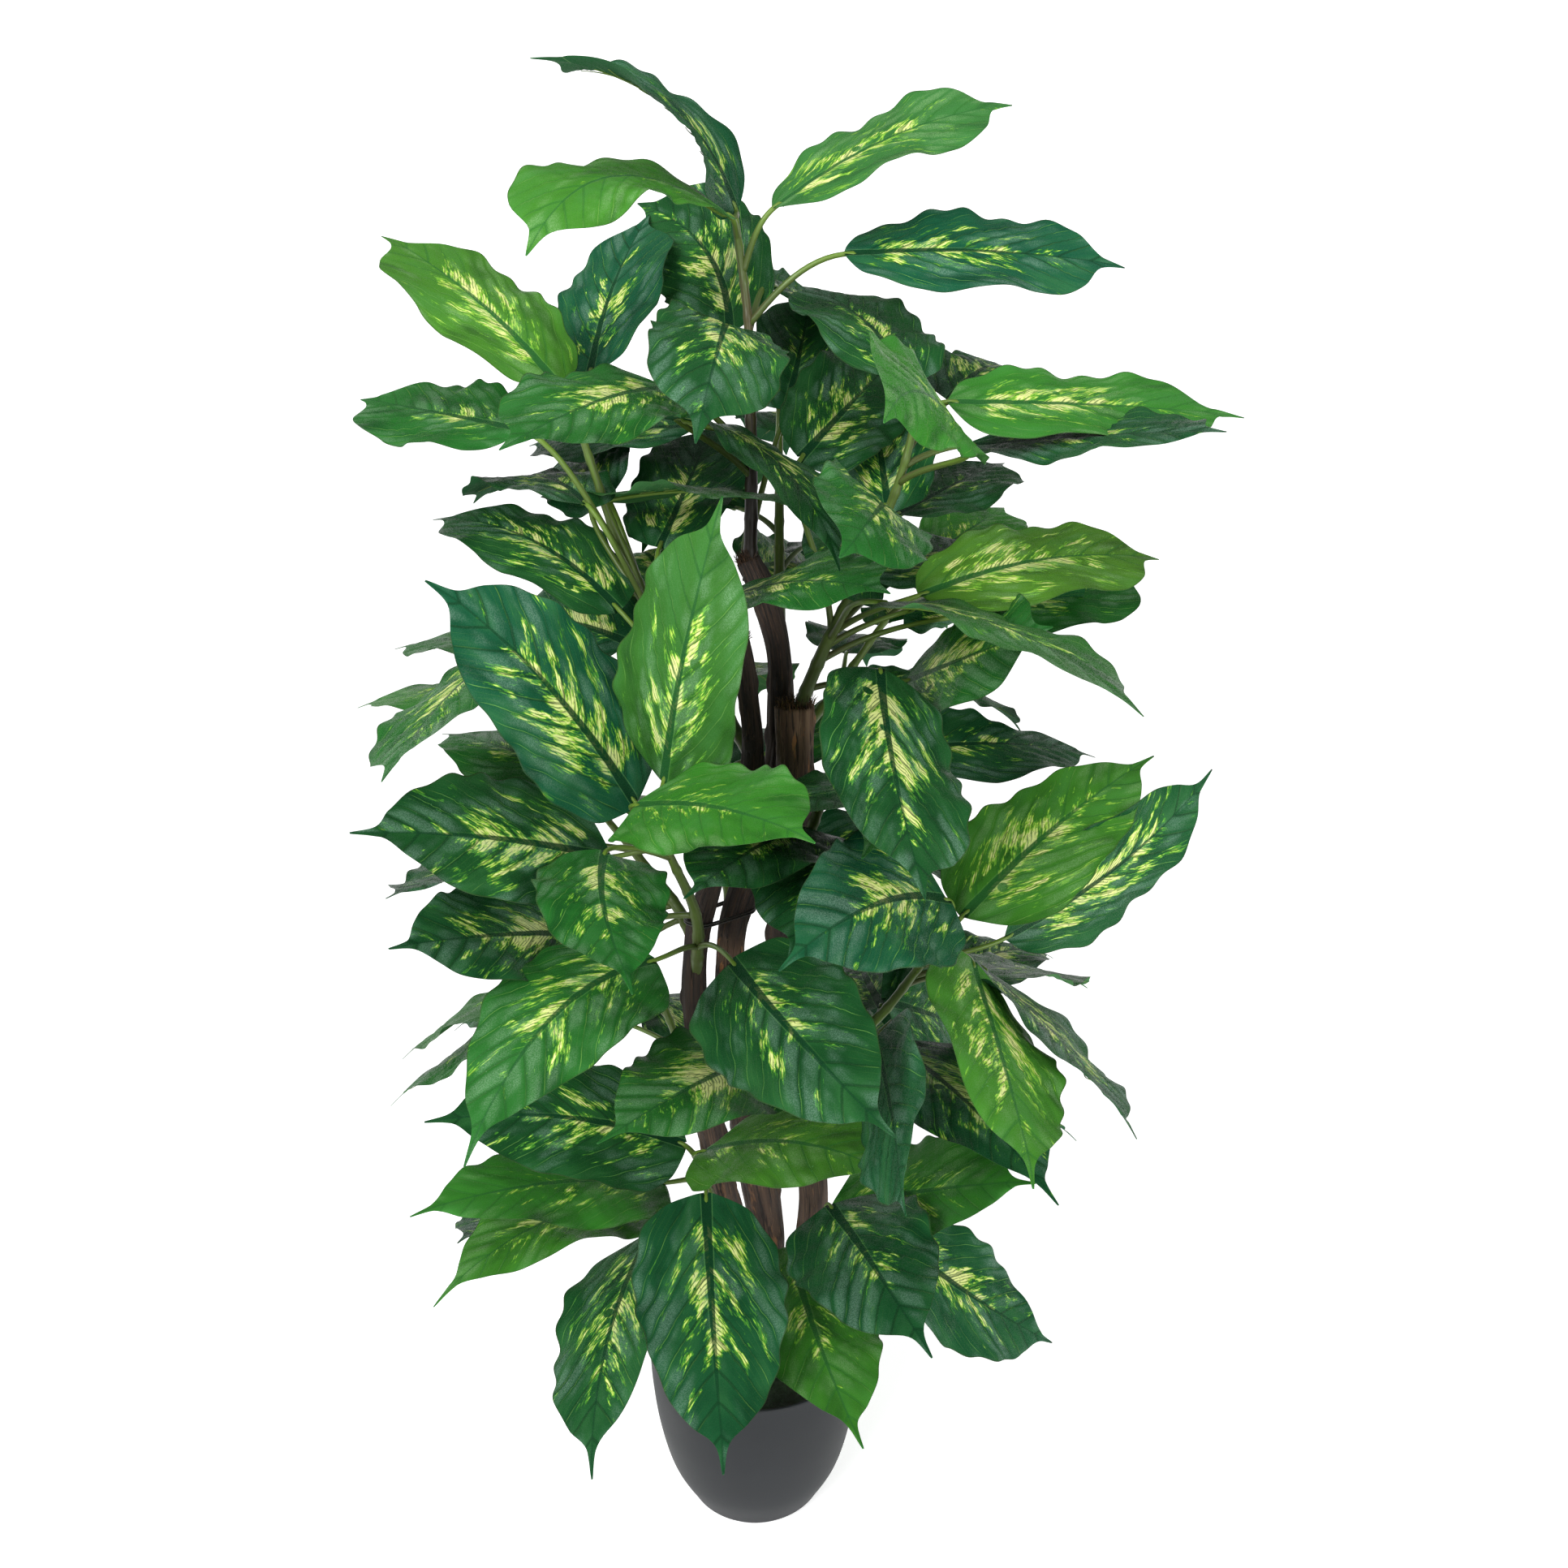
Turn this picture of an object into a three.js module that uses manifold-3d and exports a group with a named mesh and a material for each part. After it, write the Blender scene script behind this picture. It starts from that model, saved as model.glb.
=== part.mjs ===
import * as THREE from "three";
import { mergeVertices } from "three/addons/utils/BufferGeometryUtils.js";
import Module from "manifold-3d";

// A potted dieffenbachia, about 1.2 m tall: three woody trunks stand in a round tapered pot, and
// leafy stems with large variegated leaves are plugged into the trunks.
// Millimetres, +Z up, origin at the centre of the pot's foot, the front of the plant towards -Y.

const wasm = await Module();
wasm.setup();

// ---- Driving dimensions ----
const POT = { rimRadius: 95, height: 158, footRadius: 46, wall: 3.2, floor: 5, sides: 28 };
const FILLER = { top: 148, gap: 0.35, sides: 28 };
const TRUNK = { sides: 8, steps: 11, buried: 60 };
const KNOT = { rise: 0.5, pace: 5.3 };
const TUFT = { height: 10, sides: 8, steps: 2 };
const STEM = { footRadius: 5.5, tipRadius: 2.6, sides: 5, steps: 6 };
const PETIOLE = { radius: 1.9, sides: 3, steps: 2, keel: 0.03 };
const LEAF = {
  widthShare: 0.5, youngShare: 0.46, thickness: 0.8, fold: -0.02,
  arch: 10, wave: 4.4, waves: 2.1, lobe: 6,
};
const WIRE = { radius: 1, sides: 4, steps: 16, slack: 2.4, tieHeight: 566 };
const SIMPLE = 0.05; // faces that lie flatter than this are joined
const FIT = 0.35; // clearance between two pieces that touch on the real plant

// ---- Viewpoint ----
// Leaves and stems are placed as they are seen from here: a pixel of a square picture, and how
// near the viewer the point lies, in mm in front of the plant's own axis.
const VIEW = { eye: new THREE.Vector3(26, -985, 965), downDeg: 16.4, focal: 1600, centre: 966 };
const PITCH = THREE.MathUtils.degToRad(VIEW.downDeg);
const AHEAD = new THREE.Vector3(0, Math.cos(PITCH), -Math.sin(PITCH));
const ABOVE = new THREE.Vector3(0, Math.sin(PITCH), Math.cos(PITCH));
const RIGHT = new THREE.Vector3(1, 0, 0);

function sightLine(u, v) {
  return AHEAD.clone()
    .addScaledVector(RIGHT, (u - VIEW.centre) / VIEW.focal)
    .addScaledVector(ABOVE, (VIEW.centre - v) / VIEW.focal);
}

// The point seen at pixel u, v that lies `near` mm in front of the axis.
function seenAt([u, v, near]) {
  const line = sightLine(u, v);
  return line.multiplyScalar((-near - VIEW.eye.y) / line.y).add(VIEW.eye);
}

// The point seen at pixel u, v at a given reach from base: side 1 is the nearer one, -1 the farther.
function seenAtReach(u, v, base, reach, side) {
  const line = sightLine(u, v).normalize();
  const offset = VIEW.eye.clone().sub(base);
  const along = -line.dot(offset);
  const spare = Math.max(0, along * along - offset.lengthSq() + reach * reach);
  return line.multiplyScalar(along - side * Math.sqrt(spare)).add(VIEW.eye);
}

// The pixel at which a point is seen, and its distance ahead of the viewer.
function pixelOf(point) {
  const offset = point.clone().sub(VIEW.eye);
  const depth = offset.dot(AHEAD);
  const u = VIEW.centre + (VIEW.focal * offset.dot(RIGHT)) / depth;
  const v = VIEW.centre - (VIEW.focal * offset.dot(ABOVE)) / depth;
  return [u, v, depth];
}

// ---- Trunks: [pixel u, v, near, radius] from the cut top down to the filler ----
const TRUNKS = {
  tall: [[922, 690, -5, 9.5], [936, 722, -5, 10], [957, 790, -8, 10.5], [962, 850, -10, 11],
    [957, 940, -12, 12], [931, 1050, -12, 12.5], [902, 1150, -8, 14], [906, 1300, -8, 15],
    [940, 1480, -16, 17], [955, 1600, -24, 13], [960, 1672, -26, 13]],
  left: [[912, 790, 22, 7], [921, 850, 22, 8], [927, 900, 22, 9], [926, 945, 20, 9],
    [905, 1010, 18, 10], [878, 1085, 18, 10], [860, 1150, 18, 11], [856, 1230, 20, 12],
    [868, 1340, 20, 12], [895, 1480, 20, 12], [930, 1600, 12, 10], [938, 1690, 4, 10]],
  right: [[979, 870, 18, 15], [980, 950, 18, 15], [974, 1060, 20, 13], [965, 1160, 22, 12],
    [975, 1300, 22, 13], [1002, 1470, 22, 13], [985, 1600, 24, 12], [968, 1712, 28, 11]],
};

// ---- Leafy stems and their leaves, as seen ----
const DARK = 0;
const MID = 1;
const LIGHT = 2;
// A stem is [pixel u, v, near] from foot to tip. A leaf is: base pixel u, v and near, the pixel
// where the middle of its rib is seen, the tip's pixel, 1 if the tip is nearer than the base or -1
// if farther, length, how far the face is rolled from the viewer towards the sky at the base and
// at the tip in degrees, the share of the stem at which its stalk leaves, and its tone.
const SPRAYS = {
  crown: {
    trunk: "tall",
    stem: [[924, 715, -5], [925, 650, 0], [926, 560, 0], [924, 480, 0], [922, 400, 0],
      [915, 335, 0], [906, 270, 0]],
    leaves: [
      [904, 251, -40, 817, 122, 653, 68, 1, 198, 40, 120, 0.99, DARK],
      [960, 251, 10, 1098, 167, 1247, 126, -1, 184, 74, 54, 0.86, LIGHT],
      [897, 264, 15, 748, 217, 650, 313, 1, 194, 70, 66, 0.95, LIGHT],
      [1051, 312, 10, 1215, 308, 1387, 327, -1, 194, 58, 56, 0.72, DARK],
      [899, 402, -32, 874, 315, 785, 248, -1, 202, 5, 5, 0.66, DARK],
      [895, 401, 15, 882, 440, 855, 543, 1, 194, 0, 0, 0.64, DARK],
      [971, 496, -50, 985, 435, 1000, 355, -1, 184, 15, 15, 0.12, DARK],
      [840, 515, 45, 960, 568, 1037, 702, 1, 194, 72, 72, 0.3, DARK],
      [815, 478, 65, 725, 497, 617, 552, 1, 184, 50, 55, 0.35, MID],
      [845, 525, 0, 750, 530, 650, 548, -1, 184, 66, 70, 0.4, DARK],
      [956, 352, -80, 1002, 368, 1047, 384, -1, 176, 74, 76, 0.7, DARK],
      [925, 700, -85, 965, 692, 1008, 697, -1, 176, 40, 50, 0.2, MID],
    ],
  },
  left: {
    trunk: "left",
    stem: [[908, 990, 18], [855, 870, 30], [800, 750, 35], [775, 690, 38], [752, 640, 40],
      [735, 590, 40], [718, 540, 40], [707, 505, 40]],
    leaves: [
      [680, 465, 60, 590, 370, 472, 288, -1, 194, 44, 52, 0.98, LIGHT],
      [728, 455, -15, 751, 362, 800, 262, -1, 189, 45, 40, 0.95, DARK],
      [633, 527, 70, 545, 508, 443, 490, -1, 184, 52, 56, 0.6, MID],
      [720, 618, 60, 655, 585, 581, 618, -1, 180, 86, 80, 0.5, DARK],
      [748, 612, 0, 725, 580, 700, 560, -1, 176, 0, 0, 0.5, DARK],
      [757, 745, 53, 655, 664, 533, 638, -1, 189, 46, 58, 0.15, DARK],
      [770, 790, 35, 700, 765, 620, 760, -1, 180, 30, 30, 0.12, DARK],
      [742, 614, 18, 870, 602, 990, 628, 1, 189, 90, 90, 0.45, MID],
      [815, 668, 35, 845, 600, 880, 520, -1, 184, 30, 20, 0.2, DARK],
      [895, 738, 60, 990, 714, 1097, 728, 1, 184, 64, 68, 0.22, MID],
    ],
  },
  right: {
    trunk: "right",
    stem: [[980, 885, 18], [990, 860, 20], [1015, 800, 28], [1045, 740, 38], [1068, 690, 45],
      [1092, 635, 52], [1112, 580, 58], [1130, 510, 62]],
    leaves: [
      [1178, 495, 90, 1345, 497, 1533, 511, -1, 198, 60, 66, 0.98, LIGHT],
      [1200, 548, 50, 1350, 535, 1512, 528, 1, 189, 74, 76, 0.85, DARK],
      [1172, 490, 20, 1206, 455, 1247, 459, -1, 180, 40, 58, 0.9, DARK],
      [1195, 548, 110, 1130, 480, 1091, 517, 1, 184, 60, 45, 0.8, LIGHT],
      [1118, 465, 63, 1070, 398, 988, 350, -1, 184, 48, 56, 0.97, DARK],
      [1095, 625, 30, 1083, 540, 1075, 445, -1, 184, 10, 10, 0.6, DARK],
      [990, 560, 40, 1045, 500, 1105, 440, -1, 184, 10, 10, 0.3, DARK],
      [1108, 632, 15, 1170, 598, 1236, 568, -1, 184, 52, 58, 0.5, DARK],
      [1090, 622, 75, 1068, 645, 1038, 686, 1, 184, 0, 0, 0.7, MID],
      [1062, 650, -80, 1040, 690, 1022, 745, 1, 176, -18, -18, 0.35, DARK],
      [1142, 730, 80, 1285, 688, 1430, 688, -1, 194, 50, 54, 0.3, LIGHT],
      [1092, 742, 130, 1250, 776, 1410, 880, 1, 202, 76, 80, 0.28, MID],
      [1125, 752, 30, 1235, 744, 1338, 752, -1, 180, -60, -60, 0.25, DARK],
      [1180, 760, 0, 1300, 735, 1403, 709, -1, 184, 50, 50, 0.2, MID],
      [1140, 690, -95, 1190, 655, 1236, 623, -1, 176, 40, 40, 0.3, LIGHT],
      [1120, 838, 0, 1200, 805, 1295, 770, 1, 194, 46, 46, 0.1, MID],
      [1062, 705, 22, 1130, 684, 1205, 665, -1, 180, 55, 55, 0.35, DARK],
    ],
  },
  front_left: {
    trunk: "left",
    stem: [[858, 1205, 20], [858, 1130, 45], [828, 1060, 65], [800, 1005, 80]],
    leaves: [
      [780, 985, 78, 668, 836, 526, 713, 1, 222, 24, 24, 1, DARK],
      [818, 960, 95, 843, 800, 890, 612, 1, 218, 35, 35, 0.95, LIGHT],
      [785, 992, 140, 895, 996, 1003, 1036, 1, 205, 45, 50, 0.9, LIGHT],
      [745, 1055, 75, 590, 1030, 433, 1026, 1, 215, 28, 38, 0.8, DARK],
      [745, 1052, 110, 748, 1135, 782, 1222, 1, 180, 15, 15, 0.75, MID],
      [720, 1150, 30, 600, 1152, 481, 1168, 1, 205, 38, 38, 0.4, DARK],
      [800, 1185, 100, 672, 1262, 570, 1437, 1, 215, 30, 30, 0.2, MID],
      [720, 960, 55, 635, 925, 547, 902, -1, 200, 44, 70, 0.8, MID],
      [905, 1188, 120, 992, 1288, 1102, 1402, 1, 220, 5, 5, 0.2, DARK],
    ],
  },
  far_left: {
    trunk: "left",
    stem: [[858, 1165, 18], [836, 1120, -10], [790, 1060, -25], [740, 1000, -35]],
    leaves: [
      [680, 848, -60, 560, 847, 440, 870, -1, 200, 74, 74, 1, LIGHT],
      [700, 800, -50, 600, 786, 485, 798, -1, 200, 74, 74, 0.95, MID],
      [620, 800, 0, 542, 866, 470, 960, 1, 205, 68, 72, 0.9, MID],
      [640, 1050, -30, 560, 1075, 476, 1104, 1, 195, 76, 80, 0.7, DARK],
      [700, 1190, -10, 590, 1238, 495, 1303, -1, 200, 80, 82, 0.3, MID],
      [690, 1240, -10, 580, 1288, 481, 1360, -1, 200, 78, 78, 0.2, MID],
    ],
  },
  centre: {
    trunk: "right",
    stem: [[970, 1090, 20], [1000, 1020, 45], [1030, 940, 60], [1058, 880, 75]],
    leaves: [
      [1085, 828, 95, 1105, 960, 1140, 1105, 1, 215, 36, 36, 1, DARK],
      [1110, 925, -50, 1230, 915, 1350, 931, -1, 205, 50, 66, 0.8, DARK],
      [905, 985, 52, 990, 980, 1080, 998, 1, 195, 68, 68, 0.3, DARK],
      [985, 1020, 70, 920, 1050, 845, 1105, 1, 200, 45, 45, 0.3, DARK],
      [1020, 1035, 57, 1000, 1100, 972, 1178, 1, 200, 20, 20, 0.2, DARK],
      [1120, 960, 12, 1095, 1005, 1062, 1055, 1, 195, 0, 0, 0.5, MID],
    ],
  },
  middle_right: {
    trunk: "right",
    stem: [[972, 1325, 20], [1040, 1290, 40], [1090, 1245, 55], [1130, 1195, 70], [1165, 1150, 85]],
    leaves: [
      [1165, 1108, 130, 1065, 1120, 960, 1193, 1, 210, 12, 12, 1, DARK],
      [1192, 1123, 95, 1300, 1018, 1423, 930, -1, 215, 34, 30, 1, LIGHT],
      [1246, 1152, 60, 1385, 1062, 1495, 948, -1, 215, -60, -36, 0.8, DARK],
      [1200, 1190, 130, 1238, 1310, 1277, 1463, 1, 215, 64, 36, 0.85, LIGHT],
      [1215, 1195, 70, 1312, 1285, 1404, 1402, 1, 210, 74, 84, 0.75, DARK],
      [1200, 1195, 40, 1270, 1192, 1340, 1215, -1, 205, 86, 84, 0.7, MID],
      [1080, 1285, 160, 1100, 1390, 1112, 1498, 1, 195, -60, -60, 0.4, DARK],
      [1097, 1285, 100, 1200, 1365, 1303, 1483, 1, 210, 48, 48, 0.35, DARK],
      [1085, 1238, 45, 1062, 1195, 1045, 1155, -1, 195, 0, 0, 0.5, DARK],
      [1095, 1235, 40, 1150, 1250, 1205, 1275, -1, 195, 30, 30, 0.5, DARK],
      [940, 1300, 85, 848, 1340, 738, 1408, 1, 210, 38, 38, 0.2, MID],
    ],
  },
  low_left: {
    trunk: "left",
    stem: [[913, 1545, 16], [890, 1500, 40], [870, 1458, 50], [858, 1425, 58]],
    leaves: [
      [838, 1408, 45, 685, 1375, 523, 1383, 1, 215, 28, 28, 1, DARK],
      [815, 1457, 60, 665, 1458, 505, 1497, 1, 215, 48, 52, 0.8, LIGHT],
      [797, 1490, 50, 668, 1506, 532, 1608, 1, 210, 54, 58, 0.5, LIGHT],
      [700, 1490, -40, 630, 1500, 562, 1529, 1, 195, 72, 72, 0.35, DARK],
      [803, 1518, 85, 748, 1650, 727, 1822, 1, 215, 42, 42, 0.35, DARK],
      [870, 1478, 105, 880, 1650, 893, 1815, 1, 222, 10, 10, 0.4, DARK],
      [868, 1418, 110, 990, 1408, 1112, 1453, 1, 210, 46, 50, 0.9, LIGHT],
    ],
  },
  low_right: {
    trunk: "right",
    stem: [[992, 1565, 24], [1005, 1530, 40], [1018, 1490, 55]],
    leaves: [
      [1030, 1487, 50, 1150, 1465, 1275, 1455, 1, 210, 38, 38, 1, LIGHT],
      [1025, 1488, 95, 1082, 1568, 1147, 1671, 1, 215, 8, 8, 0.8, DARK],
      [975, 1540, 70, 1010, 1655, 1062, 1783, 1, 215, 20, 20, 0.4, LIGHT],
      [1115, 1535, 40, 1201, 1598, 1298, 1656, -1, 210, 35, 25, 0.5, DARK],
    ],
  },
};

// ---- Leaf form ----
const GOLDEN_ANGLE = 2.39996;
// half of the leaf's width, as a share of its widest, at equal steps from base to tip, for the lower
// leaves and for the slenderer ones above
const BROAD = [0.24, 0.72, 0.92, 0.99, 1, 0.97, 0.91, 0.83, 0.72, 0.57, 0.34, 0.065, 0.012];
const SLENDER = [0.3, 0.68, 0.83, 0.91, 0.97, 1, 1, 0.98, 0.95, 0.88, 0.66, 0.14, 0.012];
// leaves turn from broad to slender, and somewhat shorter, over these heights
const YOUNG = { from: 650, over: 150, shorter: 0.1 };

// The value at share t of a list that stands for equal steps.
function along(list, t) {
  const place = Math.min(Math.max(t, 0), 1) * (list.length - 1);
  const step = Math.min(Math.floor(place), list.length - 2);
  return list[step] + (list[step + 1] - list[step]) * (place - step);
}

// 0 for a leaf that hangs low on the plant, 1 for one near its top.
function youthAt(base) {
  return Math.min(Math.max((base.z - YOUNG.from) / YOUNG.over, 0), 1);
}

// Half of the leaf's width at share t of its length.
function halfWidth(leaf, t) {
  const youth = youthAt(leaf.base);
  const outline = along(BROAD, t) * (1 - youth) + along(SLENDER, t) * youth;
  const share = LEAF.widthShare + (LEAF.youngShare - LEAF.widthShare) * youth;
  return (leaf.length * share * outline) / 2;
}

// A leaf from a row of the tables above, as the points and directions its surface hangs on.
function seenLeaf(row, index) {
  const [u, v, near, midU, midV, tipU, tipV, side, length, rollBase, rollTip, at, tone] = row;
  const base = seenAt([u, v, near]);
  const scale = pixelOf(base)[2] / VIEW.focal;
  const bend = Math.hypot(midU - (u + tipU) / 2, midV - (v + tipV) / 2) * scale;
  const tip = seenAtReach(tipU, tipV, base, length - (8 * bend * bend) / (3 * length), side);
  const chord = tip.clone().sub(base);
  const mid = base.clone().add(tip).multiplyScalar(0.5);
  const [seenU, seenV, depth] = pixelOf(mid);
  mid.addScaledVector(RIGHT, ((midU - seenU) * depth) / VIEW.focal);
  mid.addScaledVector(ABOVE, ((seenV - midV) * depth) / VIEW.focal);
  const ahead = chord.normalize();
  const facing = VIEW.eye.clone().sub(base).normalize();
  const skyward = new THREE.Vector3().crossVectors(ahead, facing).normalize();
  if (skyward.dot(ABOVE) < 0) skyward.negate();
  facing.projectOnPlane(ahead).normalize();
  const roll = [rollBase, rollTip].map(THREE.MathUtils.degToRad);
  mid.addScaledVector(facing, LEAF.arch * Math.cos(roll[0]));
  const phase = index * GOLDEN_ANGLE;
  const far = side < 0 || Math.abs(rollBase) > 55;
  return { base, mid, tip, facing, skyward, roll, length, phase, at, tone, far };
}

// The surface of a leaf: the point at share t of its length and s (-1 to 1) of its width, and the
// leaf's normal there.
function leafSurface(leaf, t, s) {
  const { base, mid, tip } = leaf;
  const pull = mid.clone().multiplyScalar(2).addScaledVector(base, -0.5).addScaledVector(tip, -0.5);
  const rib = base.clone().multiplyScalar((1 - t) * (1 - t));
  rib.addScaledVector(pull, 2 * t * (1 - t)).addScaledVector(tip, t * t);
  const ahead = pull.clone().sub(base).multiplyScalar(1 - t);
  ahead.addScaledVector(tip.clone().sub(pull), t).normalize();
  const roll = leaf.roll[0] + (leaf.roll[1] - leaf.roll[0]) * t;
  const face = leaf.facing.clone().multiplyScalar(Math.cos(roll));
  face.addScaledVector(leaf.skyward, Math.sin(roll));
  const across = new THREE.Vector3().crossVectors(ahead, face).normalize();
  const normal = new THREE.Vector3().crossVectors(across, ahead);
  const half = halfWidth(leaf, t);
  const fade = Math.sin(Math.PI * Math.min(1, t + 0.08)) ** 0.5;
  const turn = 2 * Math.PI * LEAF.waves * t + leaf.phase + (s > 0 ? 0 : 2.1);
  const wave = LEAF.wave * Math.sin(turn) * s * s * fade;
  const lift = half * LEAF.fold * Math.abs(s) * (1.8 - Math.abs(s)) + wave;
  const back = LEAF.lobe * Math.abs(s) * Math.max(0, 1 - 4 * t);
  rib.addScaledVector(across, half * s).addScaledVector(normal, lift).addScaledVector(ahead, -back);
  return [rib, normal];
}

// ---- The half that faces away ----
// Stems at the back carry leaves by one rule: each leaf stands a golden turn from the last, within
// the stem's own fan of directions, and droops more the lower it is.
// trunk, height of the foot on the trunk's axis, reach of the stem [x, y, z], leaves, middle of the
// fan and half its spread in degrees
const BACK_SPRAYS = {
  back_top: ["tall", 775, [0, 88, 185], 5, 105, 39],
  back_upper_left: ["left", 700, [-62, 88, 100], 4, 120, 34],
  back_upper_right: ["tall", 690, [92, 92, 100], 4, 64, 32],
  back_middle: ["tall", 545, [-16, 96, 105], 5, 92, 70],
  back_low_left: ["left", 365, [-55, 90, 105], 4, 134, 40],
  back_low_right: ["right", 315, [60, 92, 105], 4, 58, 40],
};
const BACK_LEAF = { length: 205, stalk: 62, rise: 18, droop: 70, arch: 24 };

function grownLeaf(stemPoint, azimuth, share, index) {
  const out = new THREE.Vector3(Math.cos(azimuth), Math.sin(azimuth), 0);
  const base = stemPoint.clone().addScaledVector(out, BACK_LEAF.stalk);
  base.z += BACK_LEAF.rise;
  const full = BACK_LEAF.length + 9 * Math.sin(index * GOLDEN_ANGLE);
  const length = full * (1 - YOUNG.shorter * youthAt(base));
  const droop = BACK_LEAF.droop * (1.25 - share);
  const reach = Math.sqrt(length * length - droop * droop) - 5;
  const tip = base.clone().addScaledVector(out, reach);
  tip.z -= droop;
  const mid = base.clone().add(tip).multiplyScalar(0.5);
  const ahead = tip.clone().sub(base).normalize();
  const skyward = new THREE.Vector3(-Math.sin(azimuth), Math.cos(azimuth), 0);
  const facing = new THREE.Vector3().crossVectors(ahead, skyward).normalize();
  if (facing.z < 0) facing.negate();
  mid.addScaledVector(facing, BACK_LEAF.arch);
  const lean = THREE.MathUtils.degToRad(14 * Math.sin(index * 1.7));
  return {
    base, mid, tip, facing, skyward, roll: [lean, lean], length,
    phase: index * GOLDEN_ANGLE, at: share, tone: index % 3 === 0 ? MID : DARK, far: true,
  };
}

// ---- Solids ----
function solidFrom(points, faces) {
  const geometry = new THREE.BufferGeometry();
  geometry.setAttribute("position", new THREE.BufferAttribute(new Float32Array(points), 3));
  geometry.setIndex(faces);
  const merged = mergeVertices(geometry, 1e-3);
  return new wasm.Manifold(new wasm.Mesh({
    numProp: 3,
    vertProperties: new Float32Array(merged.getAttribute("position").array),
    triVerts: new Uint32Array(merged.getIndex().array),
  }));
}

// A closed tube along a curve; radiusAt gives its radius at each share of the way.
function tube(curve, radiusAt, sides, steps) {
  const frames = curve.computeFrenetFrames(steps, false);
  const points = [];
  const faces = [];
  for (let i = 0; i <= steps; i += 1) {
    const centre = curve.getPointAt(i / steps);
    for (let j = 0; j < sides; j += 1) {
      const angle = (2 * Math.PI * j) / sides;
      const ring = centre.clone();
      ring.addScaledVector(frames.normals[i], radiusAt(i / steps) * Math.cos(angle));
      ring.addScaledVector(frames.binormals[i], radiusAt(i / steps) * Math.sin(angle));
      points.push(ring.x, ring.y, ring.z);
    }
  }
  for (let i = 0; i < steps; i += 1) {
    for (let j = 0; j < sides; j += 1) {
      const a = i * sides + j;
      const b = i * sides + ((j + 1) % sides);
      faces.push(a, b, b + sides, a, b + sides, a + sides);
    }
  }
  for (let j = 1; j < sides - 1; j += 1) {
    const last = steps * sides;
    faces.push(0, j + 1, j, last, last + j, last + j + 1);
  }
  return solidFrom(points, faces);
}

// A body turned about the upright axis; the profile closes on the axis at both ends.
function turned(profile, sides) {
  const lathe = new THREE.LatheGeometry(profile.map(([r, z]) => new THREE.Vector2(r, z)), sides);
  lathe.rotateX(Math.PI / 2);
  lathe.deleteAttribute("normal");
  lathe.deleteAttribute("uv");
  const merged = mergeVertices(lathe, 1e-3);
  const faces = [];
  const index = merged.getIndex().array;
  for (let k = 0; k < index.length; k += 3) {
    const [a, b, c] = [index[k], index[k + 1], index[k + 2]];
    if (a !== b && b !== c && a !== c) faces.push(a, b, c);
  }
  return new wasm.Manifold(new wasm.Mesh({
    numProp: 3,
    vertProperties: new Float32Array(merged.getAttribute("position").array),
    triVerts: new Uint32Array(faces),
  }));
}

// Shares of the length and of the half width at which a blade has its edges: a near leaf has more.
const STATIONS = [0, 0.1, 0.3, 0.6, 0.84, 1];
const FAR_STATIONS = [0, 0.14, 0.48, 0.82, 1];
const COLUMNS = [-1, -0.5, 0, 0.5, 1];
const FAR_COLUMNS = [-1, 0, 1];

// A blade of even thickness: the same triangles on its upper and lower face, closed by a rim.
function blade(leaf) {
  const columns = leaf.far ? FAR_COLUMNS : COLUMNS;
  const stations = leaf.far ? FAR_STATIONS : STATIONS;
  const points = [];
  const faces = [];
  const layer = stations.length * columns.length;
  for (const face of [0.5, -0.5]) {
    for (const t of stations) {
      for (const s of columns) {
        const [place, normal] = leafSurface(leaf, t, s);
        place.addScaledVector(normal, face * LEAF.thickness);
        points.push(place.x, place.y, place.z);
      }
    }
  }
  const quad = (a, b, c, d) => faces.push(a, b, c, a, c, d);
  for (let i = 0; i < stations.length - 1; i += 1) {
    for (let j = 0; j < columns.length - 1; j += 1) {
      const a = i * columns.length + j;
      const b = a + 1;
      const c = b + columns.length;
      const d = a + columns.length;
      faces.push(a, b, c, a, c, d);
      faces.push(layer + a, layer + c, layer + b, layer + a, layer + d, layer + c);
    }
    const left = i * columns.length;
    const right = left + columns.length - 1;
    quad(left, left + columns.length, layer + left + columns.length, layer + left);
    quad(right, layer + right, layer + right + columns.length, right + columns.length);
  }
  const tipRow = (stations.length - 1) * columns.length;
  for (let j = 0; j < columns.length - 1; j += 1) {
    quad(j, layer + j, layer + j + 1, j + 1);
    quad(tipRow + j, tipRow + j + 1, layer + tipRow + j + 1, layer + tipRow + j);
  }
  return solidFrom(points, faces);
}

// The stalk of a leaf, from within the stem to a little way along under the blade.
function petiole(leaf, stemCurve) {
  const root = stemCurve.getPointAt(leaf.at);
  const rise = stemCurve.getTangentAt(leaf.at);
  const [heel] = leafSurface(leaf, PETIOLE.keel, 0);
  const [start] = leafSurface(leaf, 0, 0);
  const inward = heel.clone().sub(start).normalize();
  const span = root.distanceTo(start);
  const curve = new THREE.CubicBezierCurve3(
    root,
    root.clone().lerp(start, 0.28).addScaledVector(rise, span * 0.12),
    start.clone().addScaledVector(inward, -span * 0.35),
    heel,
  );
  return tube(curve, (t) => PETIOLE.radius * (1.25 - 0.45 * t), PETIOLE.sides, PETIOLE.steps);
}

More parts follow.
